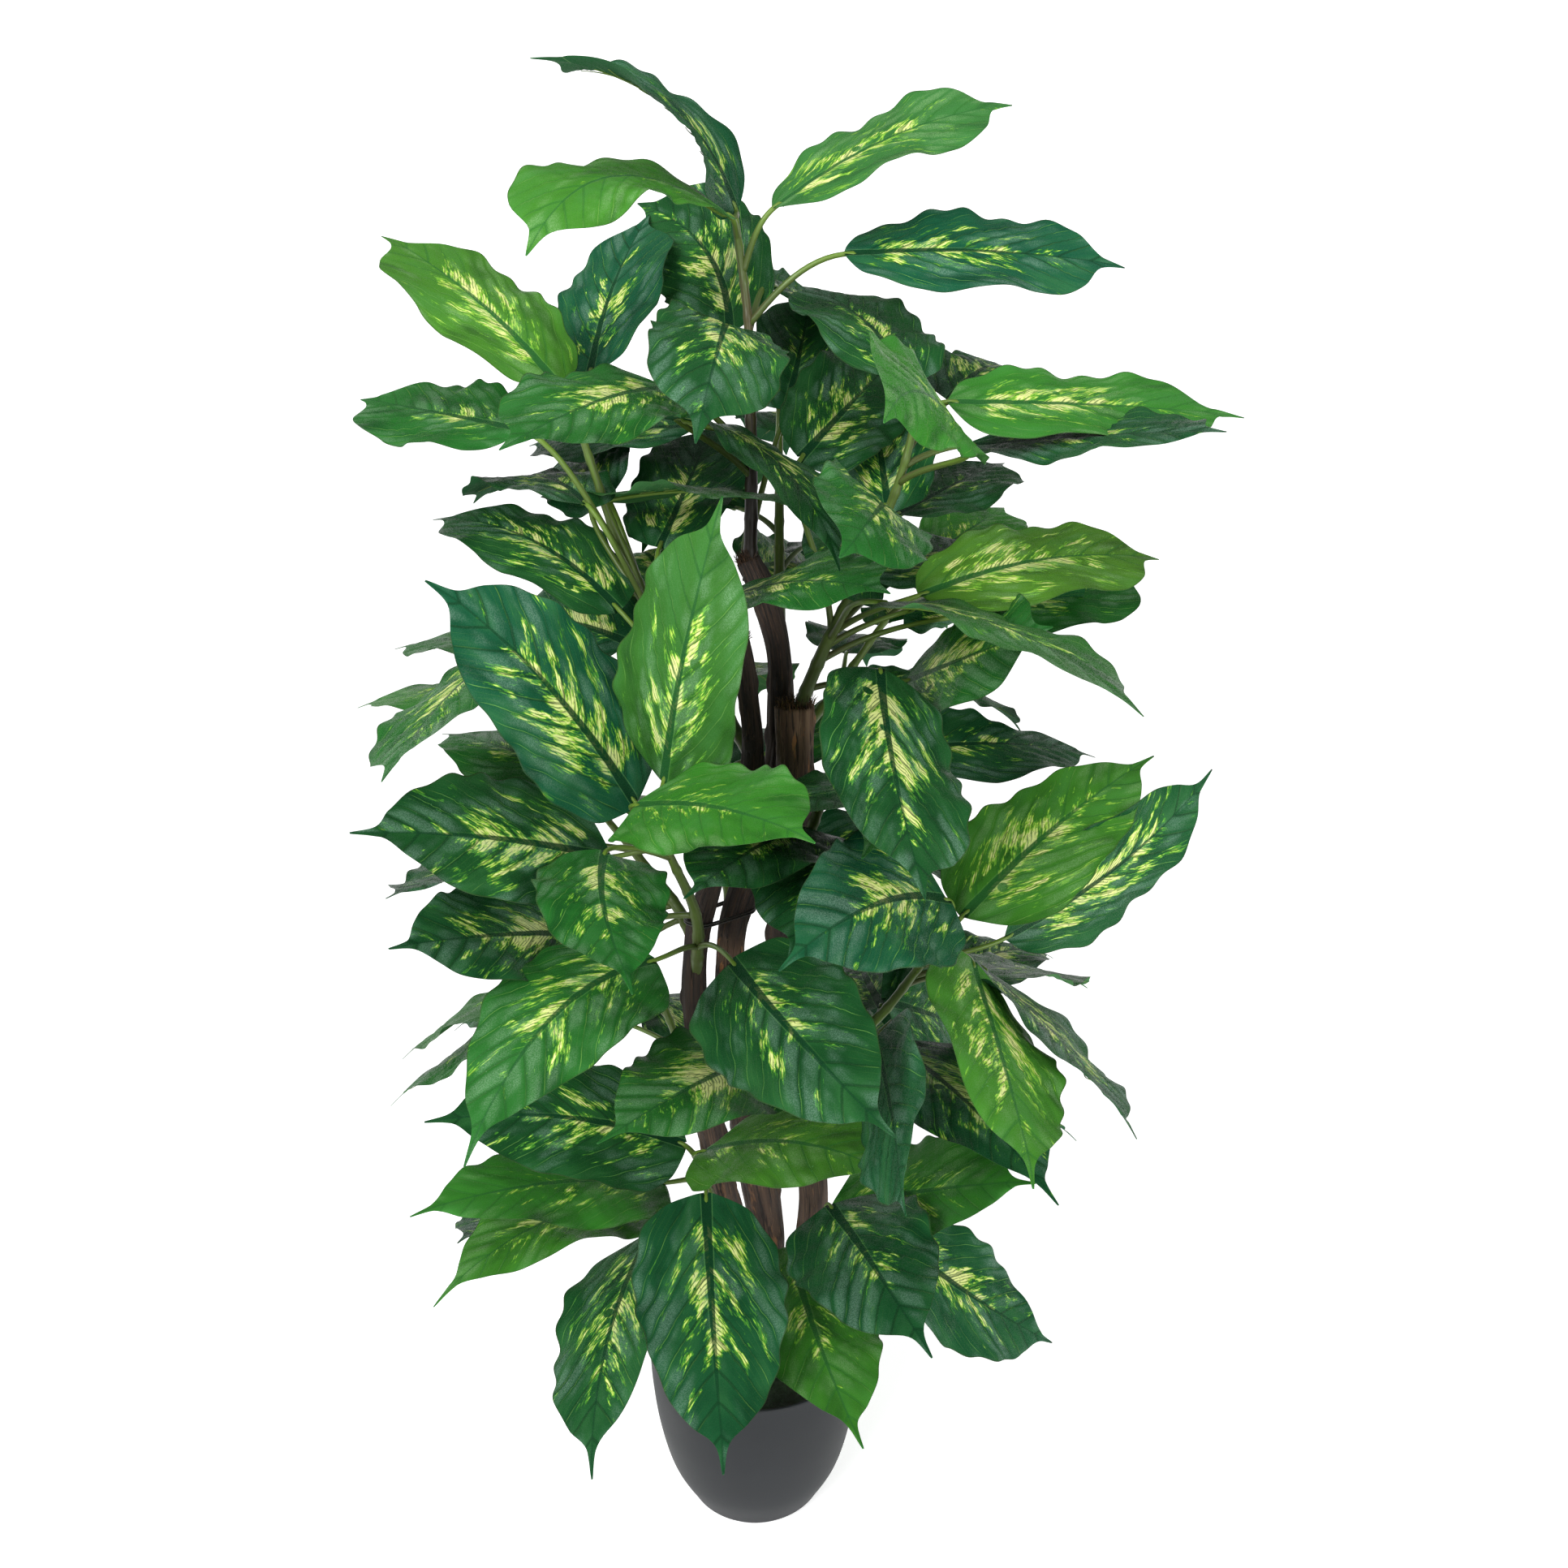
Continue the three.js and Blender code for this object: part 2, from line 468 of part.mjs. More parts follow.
// ---- Assembly ----
const trunkRows = Object.entries(TRUNKS);
const trunkCurves = {};
const trunkRadii = {};
for (const [name, rows] of trunkRows) {
  const points = rows.map(seenAt);
  const foot = points[points.length - 1].clone();
  foot.z = FILLER.top - TRUNK.buried;
  points.push(foot);
  trunkCurves[name] = new THREE.CatmullRomCurve3(points);
  const radii = [...rows.map((row) => row[3]), rows[rows.length - 1][3]];
  trunkRadii[name] = (t) => {
    const knot = KNOT.rise * Math.sin(t * (radii.length - 1) * KNOT.pace + radii.length);
    return along(radii, t) + knot;
  };
}

// How far down a trunk its axis passes a given height.
function shareAtHeight(name, z) {
  const shares = Array.from({ length: 401 }, (_, k) => k / 400);
  const missAt = (t) => Math.abs(trunkCurves[name].getPointAt(t).z - z);
  return shares.reduce((best, next) => (missAt(next) < missAt(best) ? next : best));
}

function trunkSolid(name, extra) {
  return tube(trunkCurves[name], (t) => trunkRadii[name](t) + extra, TRUNK.sides, TRUNK.steps);
}

// Every leafy stem: its curve, and its leaves.
const sprays = {};
let leafCount = 0;
for (const [name, { trunk, stem, leaves }] of Object.entries(SPRAYS)) {
  const curve = new THREE.CatmullRomCurve3(stem.map(seenAt));
  const grown = leaves.map((row, k) => seenLeaf(row, leafCount + k));
  sprays[name] = { trunk, curve, leaves: grown };
  leafCount += leaves.length;
}
for (const [name, [trunk, foot, reach, count, middle, spread]] of Object.entries(BACK_SPRAYS)) {
  const start = trunkCurves[trunk].getPointAt(shareAtHeight(trunk, foot));
  const end = start.clone().add(new THREE.Vector3(...reach));
  const bow = start.clone().lerp(end, 0.5).add(new THREE.Vector3(0, 14, -8));
  const curve = new THREE.CatmullRomCurve3([start, bow, end]);
  const grown = [];
  for (let k = 0; k < count; k += 1) {
    const share = 0.35 + (0.65 * k) / (count - 1);
    const swing = ((k * GOLDEN_ANGLE * 2) / Math.PI) % 2;
    const azimuth = THREE.MathUtils.degToRad(middle + spread * (swing - 1));
    grown.push(grownLeaf(curve.getPointAt(share), azimuth, share, leafCount + k));
  }
  sprays[name] = { trunk, curve, leaves: grown };
  leafCount += count;
}

function stemSolid(curve, extra) {
  const taper = (t) => STEM.footRadius + (STEM.tipRadius - STEM.footRadius) * t + extra;
  return tube(curve, taper, STEM.sides, STEM.steps);
}

// Each trunk stands in its own hole in the filler, and has a hole for every stem plugged into it.
const parts = [];
const paint = {
  pot: [0x484a50, 0.55],
  filler: [0x20241e, 0.95],
  wood: [0x4a3626, 0.85],
  fibre: [0x6b4e2e, 1],
  wire: [0x2a2a2a, 0.5],
};

function add(name, solid, [color, roughness]) {
  const mesh = solid.getMesh();
  const geometry = new THREE.BufferGeometry();
  const places = new Float32Array(mesh.vertProperties);
  geometry.setAttribute("position", new THREE.BufferAttribute(places, 3));
  geometry.setIndex([...mesh.triVerts]);
  const material = new THREE.MeshStandardMaterial({ color, roughness, metalness: 0 });
  const part = new THREE.Mesh(geometry, material);
  part.name = name;
  parts.push(part);
}

// Keeps the largest body of a solid.
function largestBody(solid) {
  return solid.decompose().sort((a, b) => b.volume() - a.volume())[0];
}

const { rimRadius, height, footRadius, wall } = POT;
const potOuter = [[footRadius, 0], [62, 8], [78, 40], [88, 80], [93, 120], [rimRadius, height]];
const potInner = potOuter.slice(1).map(([r, z]) => [r - wall, Math.max(z, POT.floor)]);
const potSolid = turned([[0, 0], ...potOuter, ...potInner.reverse(), [0, POT.floor]], POT.sides);
add("pot", potSolid, paint.pot);

const fillerFoot = [0, POT.floor + FILLER.gap];
const fillerSide = [fillerFoot, [57, 9], [74, 41], [84, 81], [88.5, 120], [90.3, FILLER.top]];
let filler = turned([...fillerSide, [0, FILLER.top]], FILLER.sides);
for (const [name] of trunkRows) filler = filler.subtract(trunkSolid(name, FIT));
add("filler", filler, paint.filler);

for (const [name] of trunkRows) {
  let trunk = trunkSolid(name, 0);
  for (const spray of Object.values(sprays)) {
    if (spray.trunk === name) trunk = trunk.subtract(stemSolid(spray.curve, FIT));
  }
  add(`trunk_${name}`, largestBody(trunk), paint.wood);
}

// A tuft of coir caps each trunk's cut top, round the stem that rises from it.
for (const [name] of trunkRows) {
  const top = trunkCurves[name].getPointAt(0);
  const upward = trunkCurves[name].getTangentAt(0).negate();
  const start = top.clone().addScaledVector(upward, FIT);
  const end = top.clone().addScaledVector(upward, TUFT.height);
  const dome = (t) => trunkRadii[name](0) * (0.98 - 0.3 * t * t);
  let tuft = tube(new THREE.LineCurve3(start, end), dome, TUFT.sides, TUFT.steps);
  for (const spray of Object.values(sprays)) {
    if (spray.trunk === name) tuft = tuft.subtract(stemSolid(spray.curve, FIT));
  }
  add(`tuft_${name}`, largestBody(tuft), paint.fibre);
}

// A wire ties the left and the tall trunk together, drawn round both.
const tied = ["left", "tall"].map((name) => {
  const t = shareAtHeight(name, WIRE.tieHeight);
  const radius = trunkRadii[name](t) + WIRE.radius + WIRE.slack;
  return { centre: trunkCurves[name].getPointAt(t), radius };
});
const loop = [];
for (let k = 0; k < WIRE.steps; k += 1) {
  const angle = (2 * Math.PI * (k + 0.5)) / WIRE.steps;
  const outward = new THREE.Vector3(Math.cos(angle), Math.sin(angle), 0);
  const held = tied.map(({ centre, radius }) => centre.clone().addScaledVector(outward, radius));
  held.sort((a, b) => b.dot(outward) - a.dot(outward));
  loop.push(held[0].setZ(WIRE.tieHeight));
}

// A closed ring of wire through the points of the loop.
function wireRing(points) {
  const places = [];
  const faces = [];
  points.forEach((point, i) => {
    const next = points[(i + 1) % points.length];
    const last = points[(i + points.length - 1) % points.length];
    const side = new THREE.Vector3().crossVectors(next.clone().sub(last), new THREE.Vector3(0, 0, 1));
    side.normalize();
    for (let j = 0; j < WIRE.sides; j += 1) {
      const angle = (2 * Math.PI * j) / WIRE.sides;
      const ring = point.clone().addScaledVector(side, WIRE.radius * Math.cos(angle));
      ring.z += WIRE.radius * Math.sin(angle);
      places.push(ring.x, ring.y, ring.z);
      const a = i * WIRE.sides + j;
      const b = i * WIRE.sides + ((j + 1) % WIRE.sides);
      const ahead = ((i + 1) % points.length) * WIRE.sides;
      const c = ahead + ((j + 1) % WIRE.sides);
      const d = ahead + j;
      faces.push(a, c, b, a, d, c);
    }
  });
  return solidFrom(places, faces);
}
add("tie_wire", wireRing(loop), paint.wire);

const leafColour = { [DARK]: 0x24502e, [MID]: 0x2e6a34, [LIGHT]: 0x4d8c3c };
for (const [name, spray] of Object.entries(sprays)) {
  const pieces = [stemSolid(spray.curve, 0)];
  for (const leaf of spray.leaves) pieces.push(blade(leaf), petiole(leaf, spray.curve));
  const fused = wasm.Manifold.union(pieces).asOriginal().simplify(SIMPLE);
  const tones = spray.leaves.map((leaf) => leaf.tone).sort();
  add(`spray_${name}`, largestBody(fused), [leafColour[tones[tones.length >> 1]], 0.6]);
}

const plant = new THREE.Group();
plant.name = "potted_dieffenbachia";
plant.add(...parts);
export default plant;
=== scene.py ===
import math
from collections import namedtuple
from functools import reduce

import bpy
import numpy as np
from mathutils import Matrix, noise


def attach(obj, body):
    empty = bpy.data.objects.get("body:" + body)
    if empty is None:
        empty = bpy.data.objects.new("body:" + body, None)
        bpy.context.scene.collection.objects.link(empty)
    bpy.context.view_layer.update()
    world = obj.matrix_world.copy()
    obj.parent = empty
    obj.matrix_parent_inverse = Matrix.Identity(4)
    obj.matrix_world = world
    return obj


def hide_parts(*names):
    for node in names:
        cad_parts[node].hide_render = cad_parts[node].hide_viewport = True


# The looks of a potted dieffenbachia: printed cloth leaves on wired stems, plugged into stripped
# wooden trunks that stand in a dark matte pot. Sizes and tables are in millimetres and pixels, as
# in the solids; the meshes are in metres.

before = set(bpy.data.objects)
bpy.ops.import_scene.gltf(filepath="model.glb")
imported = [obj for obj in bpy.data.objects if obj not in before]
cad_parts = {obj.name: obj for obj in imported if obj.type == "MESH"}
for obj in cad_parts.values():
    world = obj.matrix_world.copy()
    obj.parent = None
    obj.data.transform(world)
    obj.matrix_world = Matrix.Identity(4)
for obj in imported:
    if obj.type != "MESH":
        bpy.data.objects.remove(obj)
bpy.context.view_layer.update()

MM = 0.001
GOLDEN_ANGLE = 2.39996
RANDOM = np.random.default_rng(7)

# ---- Viewpoint: a pixel of a square picture, and how near the viewer the point lies ----
EYE = np.array([26.0, -985.0, 965.0])
DOWN_DEG = 16.4
FOCAL = 1600.0
CENTRE = 966.0
SENSOR_WIDTH = 36.0
PITCH = math.radians(DOWN_DEG)
AHEAD = np.array([0.0, math.cos(PITCH), -math.sin(PITCH)])
ABOVE = np.array([0.0, math.sin(PITCH), math.cos(PITCH)])
RIGHT = np.array([1.0, 0.0, 0.0])

# ---- Driving sizes, as in the solids ----
POT_OUTER = [[46, 0], [62, 8], [78, 40], [88, 80], [93, 120], [95, 158]]
POT_WALL = 3.2
POT_FLOOR = 5
FILLER_TOP = 148
TRUNK_BURIED = 60
STEM_FOOT = 5.5
STEM_TIP = 2.6
LEAF_WIDTH_SHARE = 0.5
YOUNG_WIDTH_SHARE = 0.46
LEAF_FOLD = -0.02
LEAF_ARCH = 10
LEAF_WAVE = 4.4
LEAF_WAVES = 2.1
LEAF_LOBE = 6
BROAD = [0.24, 0.72, 0.92, 0.99, 1, 0.97, 0.91, 0.83, 0.72, 0.57, 0.34, 0.065, 0.012]
SLENDER = [0.3, 0.68, 0.83, 0.91, 0.97, 1, 1, 0.98, 0.95, 0.88, 0.66, 0.14, 0.012]
YOUNG_FROM = 650
YOUNG_OVER = 150
YOUNG_SHORTER = 0.1
BACK_LEAF = {"length": 205, "stalk": 62, "rise": 18, "droop": 70, "arch": 24}
BACK_LENGTH_SWING = 9
BACK_CHORD_LOSS = 5
BACK_LEAN_DEG = 14
TIE_HEIGHT = 566
TIE_RADIUS = 0.9

# ---- Finer sizes, of the scene alone ----
LEAF_THICKNESS = 0.5
LEAF_THINNEST_EDGE = 0.25
LEAF_BASE_ROUNDING = 0.06
LEAF_ROWS = 84
LEAF_COLUMNS = 23
RIPPLE = 1.2
RIPPLES = 6.7
QUILT = 1.6
GROOVE = 1.3
GROOVE_HALF_WIDTH = 2.4
TIP_CURL = 60
TIP_DRIFT = 50
TIP_CURLS_FROM = 0.84
VEIN_PAIRS = 8.5
VEIN_SWEEP = 0.28
VEIN_BEND = 0.2
RAISED_PAIRS = 5
RAISED_REACH = 0.42
RAISED_RADII = (0.65, 0.25)
STALK_RADII = (2.6, 1.7)
RIB_RADII = (1.6, 0.35)
RIB_SPAN = (0.012, 0.8)
STEM_RING = 0.5
STEM_RING_PACE = 7.5
FIBRES = 210
FIBRE_RADII = (0.34, 0.16)
FIBRE_HEIGHTS = (3, 10)
TIE_GAP = 2.2
TIE_TURNS = 2
TIE_PITCH = 2.0
TIE_END_REACH = 9
FILLER_GAP = 0.4

# Age of the green parts, from 0 (fresh green) to 1 (dark wood). A pair is the age at either end.
VEIN_AGE = 0.08
RIB_AGES = (0.12, 0.1)
STALK_AGES = (0.4, 0.12)
STEM_AGE = 0.24
STEM_FOOT_AGE = 0.16
WOODY_FOOT_AGE = 0.6

# How worn to bare wood each trunk is, at its foot and at its cut top, and how far below the top a
# bare knot lies.
WORN = {"tall": (0.25, 0.0), "left": (0.3, 0.0), "right": (0.34, 0.85)}
NO_KNOT = -99
KNOT_DEPTH = {"tall": 330}

# How pale the palest coir on each trunk is.
COIR_PALEST = {"tall": 0.35, "left": 0.5, "right": 1.0}

# ---- Room and lamps, in metres and watts ----
FLOOR_REACH = 12.0
FLOOR_BACK = 3.8
FLOOR_BEND = 1.6
FLOOR_TOP = 2.8
FLOOR_WHITE = 0.9
FLOOR_GLOW = 0.6
ROOM_GLOW = 0.35
LAMPS_AIM = (0, 0, 0.5)
LAMPS = {
    "key": {"place": (-1.5, -2.4, 1.9), "size": 1.4, "power": 80},
    "fill": {"place": (1.4, -2.4, 0.9), "size": 1.3, "power": 44},
    "top": {"place": (-0.4, -1.2, 3.2), "size": 1.6, "power": 28},
}

DARK, MID, LIGHT = 0, 1, 2

# Trunks: pixel u, v, nearness and radius, from the cut top down.
TRUNKS = {
    "tall": [[922, 690, -5, 9.5], [936, 722, -5, 10], [957, 790, -8, 10.5], [962, 850, -10, 11],
        [957, 940, -12, 12], [931, 1050, -12, 12.5], [902, 1150, -8, 14], [906, 1300, -8, 15],
        [940, 1480, -16, 17], [955, 1600, -24, 13], [960, 1672, -26, 13]],
    "left": [[912, 790, 22, 7], [921, 850, 22, 8], [927, 900, 22, 9], [926, 945, 20, 9],
        [905, 1010, 18, 10], [878, 1085, 18, 10], [860, 1150, 18, 11], [856, 1230, 20, 12],
        [868, 1340, 20, 12], [895, 1480, 20, 12], [930, 1600, 12, 10], [938, 1690, 4, 10]],
    "right": [[979, 870, 18, 15], [980, 950, 18, 15], [974, 1060, 20, 13], [965, 1160, 22, 12],
        [975, 1300, 22, 13], [1002, 1470, 22, 13], [985, 1600, 24, 12], [968, 1712, 28, 11]],
}

# Leafy stems: pixel u, v and nearness from foot to tip.
STEMS = {
    "crown": [[924, 715, -5], [925, 650, 0], [926, 560, 0], [924, 480, 0], [922, 400, 0],
        [915, 335, 0], [906, 270, 0]],
    "left": [[908, 990, 18], [855, 870, 30], [800, 750, 35], [775, 690, 38], [752, 640, 40],
        [735, 590, 40], [718, 540, 40], [707, 505, 40]],
    "right": [[980, 885, 18], [990, 860, 20], [1015, 800, 28], [1045, 740, 38], [1068, 690, 45],
        [1092, 635, 52], [1112, 580, 58], [1130, 510, 62]],
    "front_left": [[858, 1205, 20], [858, 1130, 45], [828, 1060, 65], [800, 1005, 80]],
    "far_left": [[858, 1165, 18], [836, 1120, -10], [790, 1060, -25], [740, 1000, -35]],
    "centre": [[970, 1090, 20], [1000, 1020, 45], [1030, 940, 60], [1058, 880, 75]],
    "middle_right": [[972, 1325, 20], [1040, 1290, 40], [1090, 1245, 55], [1130, 1195, 70],
        [1165, 1150, 85]],
    "low_left": [[913, 1545, 16], [890, 1500, 40], [870, 1458, 50], [858, 1425, 58]],
    "low_right": [[992, 1565, 24], [1005, 1530, 40], [1018, 1490, 55]],
}

# Leaves: pixel and nearness of the base, pixel of the middle of the rib, pixel of the tip, 1 if the
# tip is nearer or -1 if farther, length, roll of the face towards the sky at the base and at the tip,
# share of the stem where the stalk leaves it, tone.
LEAVES = {
    "crown": [
        [904, 251, -40, 817, 122, 653, 68, 1, 198, 40, 120, 0.99, DARK],
        [960, 251, 10, 1098, 167, 1247, 126, -1, 184, 74, 54, 0.86, LIGHT],
        [897, 264, 15, 748, 217, 650, 313, 1, 194, 70, 66, 0.95, LIGHT],
        [1051, 312, 10, 1215, 308, 1387, 327, -1, 194, 58, 56, 0.72, DARK],
        [899, 402, -32, 874, 315, 785, 248, -1, 202, 5, 5, 0.66, DARK],
        [895, 401, 15, 882, 440, 855, 543, 1, 194, 0, 0, 0.64, DARK],
        [971, 496, -50, 985, 435, 1000, 355, -1, 184, 15, 15, 0.12, DARK],
        [840, 515, 45, 960, 568, 1037, 702, 1, 194, 72, 72, 0.3, DARK],
        [815, 478, 65, 725, 497, 617, 552, 1, 184, 50, 55, 0.35, MID],
        [845, 525, 0, 750, 530, 650, 548, -1, 184, 66, 70, 0.4, DARK],
        [956, 352, -80, 1002, 368, 1047, 384, -1, 176, 74, 76, 0.7, DARK],
        [925, 700, -85, 965, 692, 1008, 697, -1, 176, 40, 50, 0.2, MID],
    ],
    "left": [
        [680, 465, 60, 590, 370, 472, 288, -1, 194, 44, 52, 0.98, LIGHT],
        [728, 455, -15, 751, 362, 800, 262, -1, 189, 45, 40, 0.95, DARK],
        [633, 527, 70, 545, 508, 443, 490, -1, 184, 52, 56, 0.6, MID],
        [720, 618, 60, 655, 585, 581, 618, -1, 180, 86, 80, 0.5, DARK],
        [748, 612, 0, 725, 580, 700, 560, -1, 176, 0, 0, 0.5, DARK],
        [757, 745, 53, 655, 664, 533, 638, -1, 189, 46, 58, 0.15, DARK],
        [770, 790, 35, 700, 765, 620, 760, -1, 180, 30, 30, 0.12, DARK],
        [742, 614, 18, 870, 602, 990, 628, 1, 189, 90, 90, 0.45, MID],
        [815, 668, 35, 845, 600, 880, 520, -1, 184, 30, 20, 0.2, DARK],
        [895, 738, 60, 990, 714, 1097, 728, 1, 184, 64, 68, 0.22, MID],
    ],
    "right": [
        [1178, 495, 90, 1345, 497, 1533, 511, -1, 198, 60, 66, 0.98, LIGHT],
        [1200, 548, 50, 1350, 535, 1512, 528, 1, 189, 74, 76, 0.85, DARK],
        [1172, 490, 20, 1206, 455, 1247, 459, -1, 180, 40, 58, 0.9, DARK],
        [1195, 548, 110, 1130, 480, 1091, 517, 1, 184, 60, 45, 0.8, LIGHT],
        [1118, 465, 63, 1070, 398, 988, 350, -1, 184, 48, 56, 0.97, DARK],
        [1095, 625, 30, 1083, 540, 1075, 445, -1, 184, 10, 10, 0.6, DARK],
        [990, 560, 40, 1045, 500, 1105, 440, -1, 184, 10, 10, 0.3, DARK],
        [1108, 632, 15, 1170, 598, 1236, 568, -1, 184, 52, 58, 0.5, DARK],
        [1090, 622, 75, 1068, 645, 1038, 686, 1, 184, 0, 0, 0.7, MID],
        [1062, 650, -80, 1040, 690, 1022, 745, 1, 176, -18, -18, 0.35, DARK],
        [1142, 730, 80, 1285, 688, 1430, 688, -1, 194, 50, 54, 0.3, LIGHT],
        [1092, 742, 130, 1250, 776, 1410, 880, 1, 202, 76, 80, 0.28, MID],
        [1125, 752, 30, 1235, 744, 1338, 752, -1, 180, -60, -60, 0.25, DARK],
        [1180, 760, 0, 1300, 735, 1403, 709, -1, 184, 50, 50, 0.2, MID],
        [1140, 690, -95, 1190, 655, 1236, 623, -1, 176, 40, 40, 0.3, LIGHT],
        [1120, 838, 0, 1200, 805, 1295, 770, 1, 194, 46, 46, 0.1, MID],
        [1062, 705, 22, 1130, 684, 1205, 665, -1, 180, 55, 55, 0.35, DARK],
    ],
    "front_left": [
        [780, 985, 78, 668, 836, 526, 713, 1, 222, 24, 24, 1, DARK],
        [818, 960, 95, 843, 800, 890, 612, 1, 218, 35, 35, 0.95, MID],
        [785, 992, 140, 895, 996, 1003, 1036, 1, 205, 45, 50, 0.9, LIGHT],
        [745, 1055, 75, 590, 1030, 433, 1026, 1, 215, 28, 38, 0.8, DARK],
        [745, 1052, 110, 748, 1135, 782, 1222, 1, 180, 15, 15, 0.75, MID],
        [720, 1150, 30, 600, 1152, 481, 1168, 1, 205, 38, 38, 0.4, DARK],
        [800, 1185, 100, 672, 1262, 570, 1437, 1, 215, 30, 30, 0.2, MID],
        [720, 960, 55, 635, 925, 547, 902, -1, 200, 44, 70, 0.8, MID],
        [905, 1188, 120, 992, 1288, 1102, 1402, 1, 220, 5, 5, 0.2, DARK],
    ],
    "far_left": [
        [680, 848, -60, 560, 847, 440, 870, -1, 200, 74, 74, 1, LIGHT],
        [700, 800, -50, 600, 786, 485, 798, -1, 200, 74, 74, 0.95, MID],
        [620, 800, 0, 542, 866, 470, 960, 1, 205, 68, 72, 0.9, MID],
        [640, 1050, -30, 560, 1075, 476, 1104, 1, 195, 76, 80, 0.7, DARK],
        [700, 1190, -10, 590, 1238, 495, 1303, -1, 200, 80, 82, 0.3, MID],
        [690, 1240, -10, 580, 1288, 481, 1360, -1, 200, 78, 78, 0.2, MID],
    ],
    "centre": [
        [1085, 828, 95, 1105, 960, 1140, 1105, 1, 215, 36, 36, 1, DARK],
        [1110, 925, -50, 1230, 915, 1350, 931, -1, 205, 50, 66, 0.8, DARK],
        [905, 985, 52, 990, 980, 1080, 998, 1, 195, 68, 68, 0.3, DARK],
        [985, 1020, 70, 920, 1050, 845, 1105, 1, 200, 45, 45, 0.3, DARK],
        [1020, 1035, 57, 1000, 1100, 972, 1178, 1, 200, 20, 20, 0.2, DARK],
        [1120, 960, 12, 1095, 1005, 1062, 1055, 1, 195, 0, 0, 0.5, MID],
    ],
    "middle_right": [
        [1165, 1108, 130, 1065, 1120, 960, 1193, 1, 210, 12, 12, 1, DARK],
        [1192, 1123, 95, 1300, 1018, 1423, 930, -1, 215, 34, 30, 1, LIGHT],
        [1246, 1152, 60, 1385, 1062, 1495, 948, -1, 215, -60, -36, 0.8, DARK],
        [1200, 1190, 130, 1238, 1310, 1277, 1463, 1, 215, 64, 36, 0.85, LIGHT],
        [1215, 1195, 70, 1312, 1285, 1404, 1402, 1, 210, 74, 84, 0.75, DARK],
        [1200, 1195, 40, 1270, 1192, 1340, 1215, -1, 205, 86, 84, 0.7, MID],
        [1080, 1285, 160, 1100, 1390, 1112, 1498, 1, 195, -60, -60, 0.4, DARK],
        [1097, 1285, 100, 1200, 1365, 1303, 1483, 1, 210, 48, 48, 0.35, DARK],
        [1085, 1238, 45, 1062, 1195, 1045, 1155, -1, 195, 0, 0, 0.5, DARK],
        [1095, 1235, 40, 1150, 1250, 1205, 1275, -1, 195, 30, 30, 0.5, DARK],
        [940, 1300, 85, 848, 1340, 738, 1408, 1, 210, 38, 38, 0.2, MID],
    ],
    "low_left": [
        [838, 1408, 45, 685, 1375, 523, 1383, 1, 215, 28, 28, 1, DARK],
        [815, 1457, 60, 665, 1458, 505, 1497, 1, 215, 48, 52, 0.8, LIGHT],
        [797, 1490, 50, 668, 1506, 532, 1608, 1, 210, 54, 58, 0.5, LIGHT],
        [700, 1490, -40, 630, 1500, 562, 1529, 1, 195, 72, 72, 0.35, DARK],
        [803, 1518, 85, 748, 1650, 727, 1822, 1, 215, 42, 42, 0.35, DARK],
        [870, 1478, 105, 880, 1650, 893, 1815, 1, 222, 10, 10, 0.4, DARK],
        [868, 1418, 110, 990, 1408, 1112, 1453, 1, 210, 46, 50, 0.9, LIGHT],
    ],
    "low_right": [
        [1030, 1487, 50, 1150, 1465, 1275, 1455, 1, 210, 38, 38, 1, LIGHT],
        [1025, 1488, 95, 1082, 1568, 1147, 1671, 1, 215, 8, 8, 0.8, DARK],
        [975, 1540, 70, 1010, 1655, 1062, 1783, 1, 215, 20, 20, 0.4, LIGHT],
        [1115, 1535, 40, 1201, 1598, 1298, 1656, -1, 210, 35, 25, 0.5, DARK],
    ],
}

# Stems at the back: trunk, height of the foot, reach of the stem, leaves, middle of the fan and half
# its spread in degrees.
BACK_SPRAYS = {
    "back_top": ["tall", 775, [0, 88, 185], 5, 105, 39],
    "back_upper_left": ["left", 700, [-62, 88, 100], 4, 120, 34],
    "back_upper_right": ["tall", 690, [92, 92, 100], 4, 64, 32],
    "back_middle": ["tall", 545, [-16, 96, 105], 5, 92, 70],
    "back_low_left": ["left", 365, [-55, 90, 105], 4, 134, 40],
    "back_low_right": ["right", 315, [60, 92, 105], 4, 58, 40],
}

# Leaves whose print and colour stand out: share of the print (1 is full), and how warm the green
# is (-1 bluish, 1 yellowish). The other leaves take theirs from their number.
LOOKS = {
    0: (0.75, -0.5), 1: (0.9, -0.6), 2: (0.0, 0.35), 3: (0.85, -0.8), 4: (1.0, 0.1),
    5: (0.9, -0.1), 12: (0.9, 0.5), 13: (0.6, -0.7), 14: (0.5, -0.7), 22: (0.8, -0.2),
    25: (0.45, -0.1), 32: (1.0, 0.8), 39: (1.0, -0.7), 40: (0.75, 0.7), 41: (0.5, 0.15),
    42: (1.0, 0.1), 43: (0.8, -0.6), 45: (0.9, 0.2), 47: (0.65, -0.1), 54: (1.0, -0.1),
    60: (0.85, -0.6), 61: (1.0, 0.35), 62: (1.0, -0.3), 63: (1.0, 0.4), 66: (0.1, -0.4),
    75: (0.95, -0.2), 76: (0.75, -0.4), 77: (0.55, 0.5), 79: (0.5, -0.3), 80: (0.6, 0.3),
}


# ---- Where things are ----
def unit(v):
    return v / np.linalg.norm(v, axis=-1, keepdims=True)


def sight_line(u, v):
    return AHEAD + RIGHT * (u - CENTRE) / FOCAL + ABOVE * (CENTRE - v) / FOCAL


def seen_at(u, v, near):
    line = sight_line(u, v)
    return EYE + line * (-near - EYE[1]) / line[1]


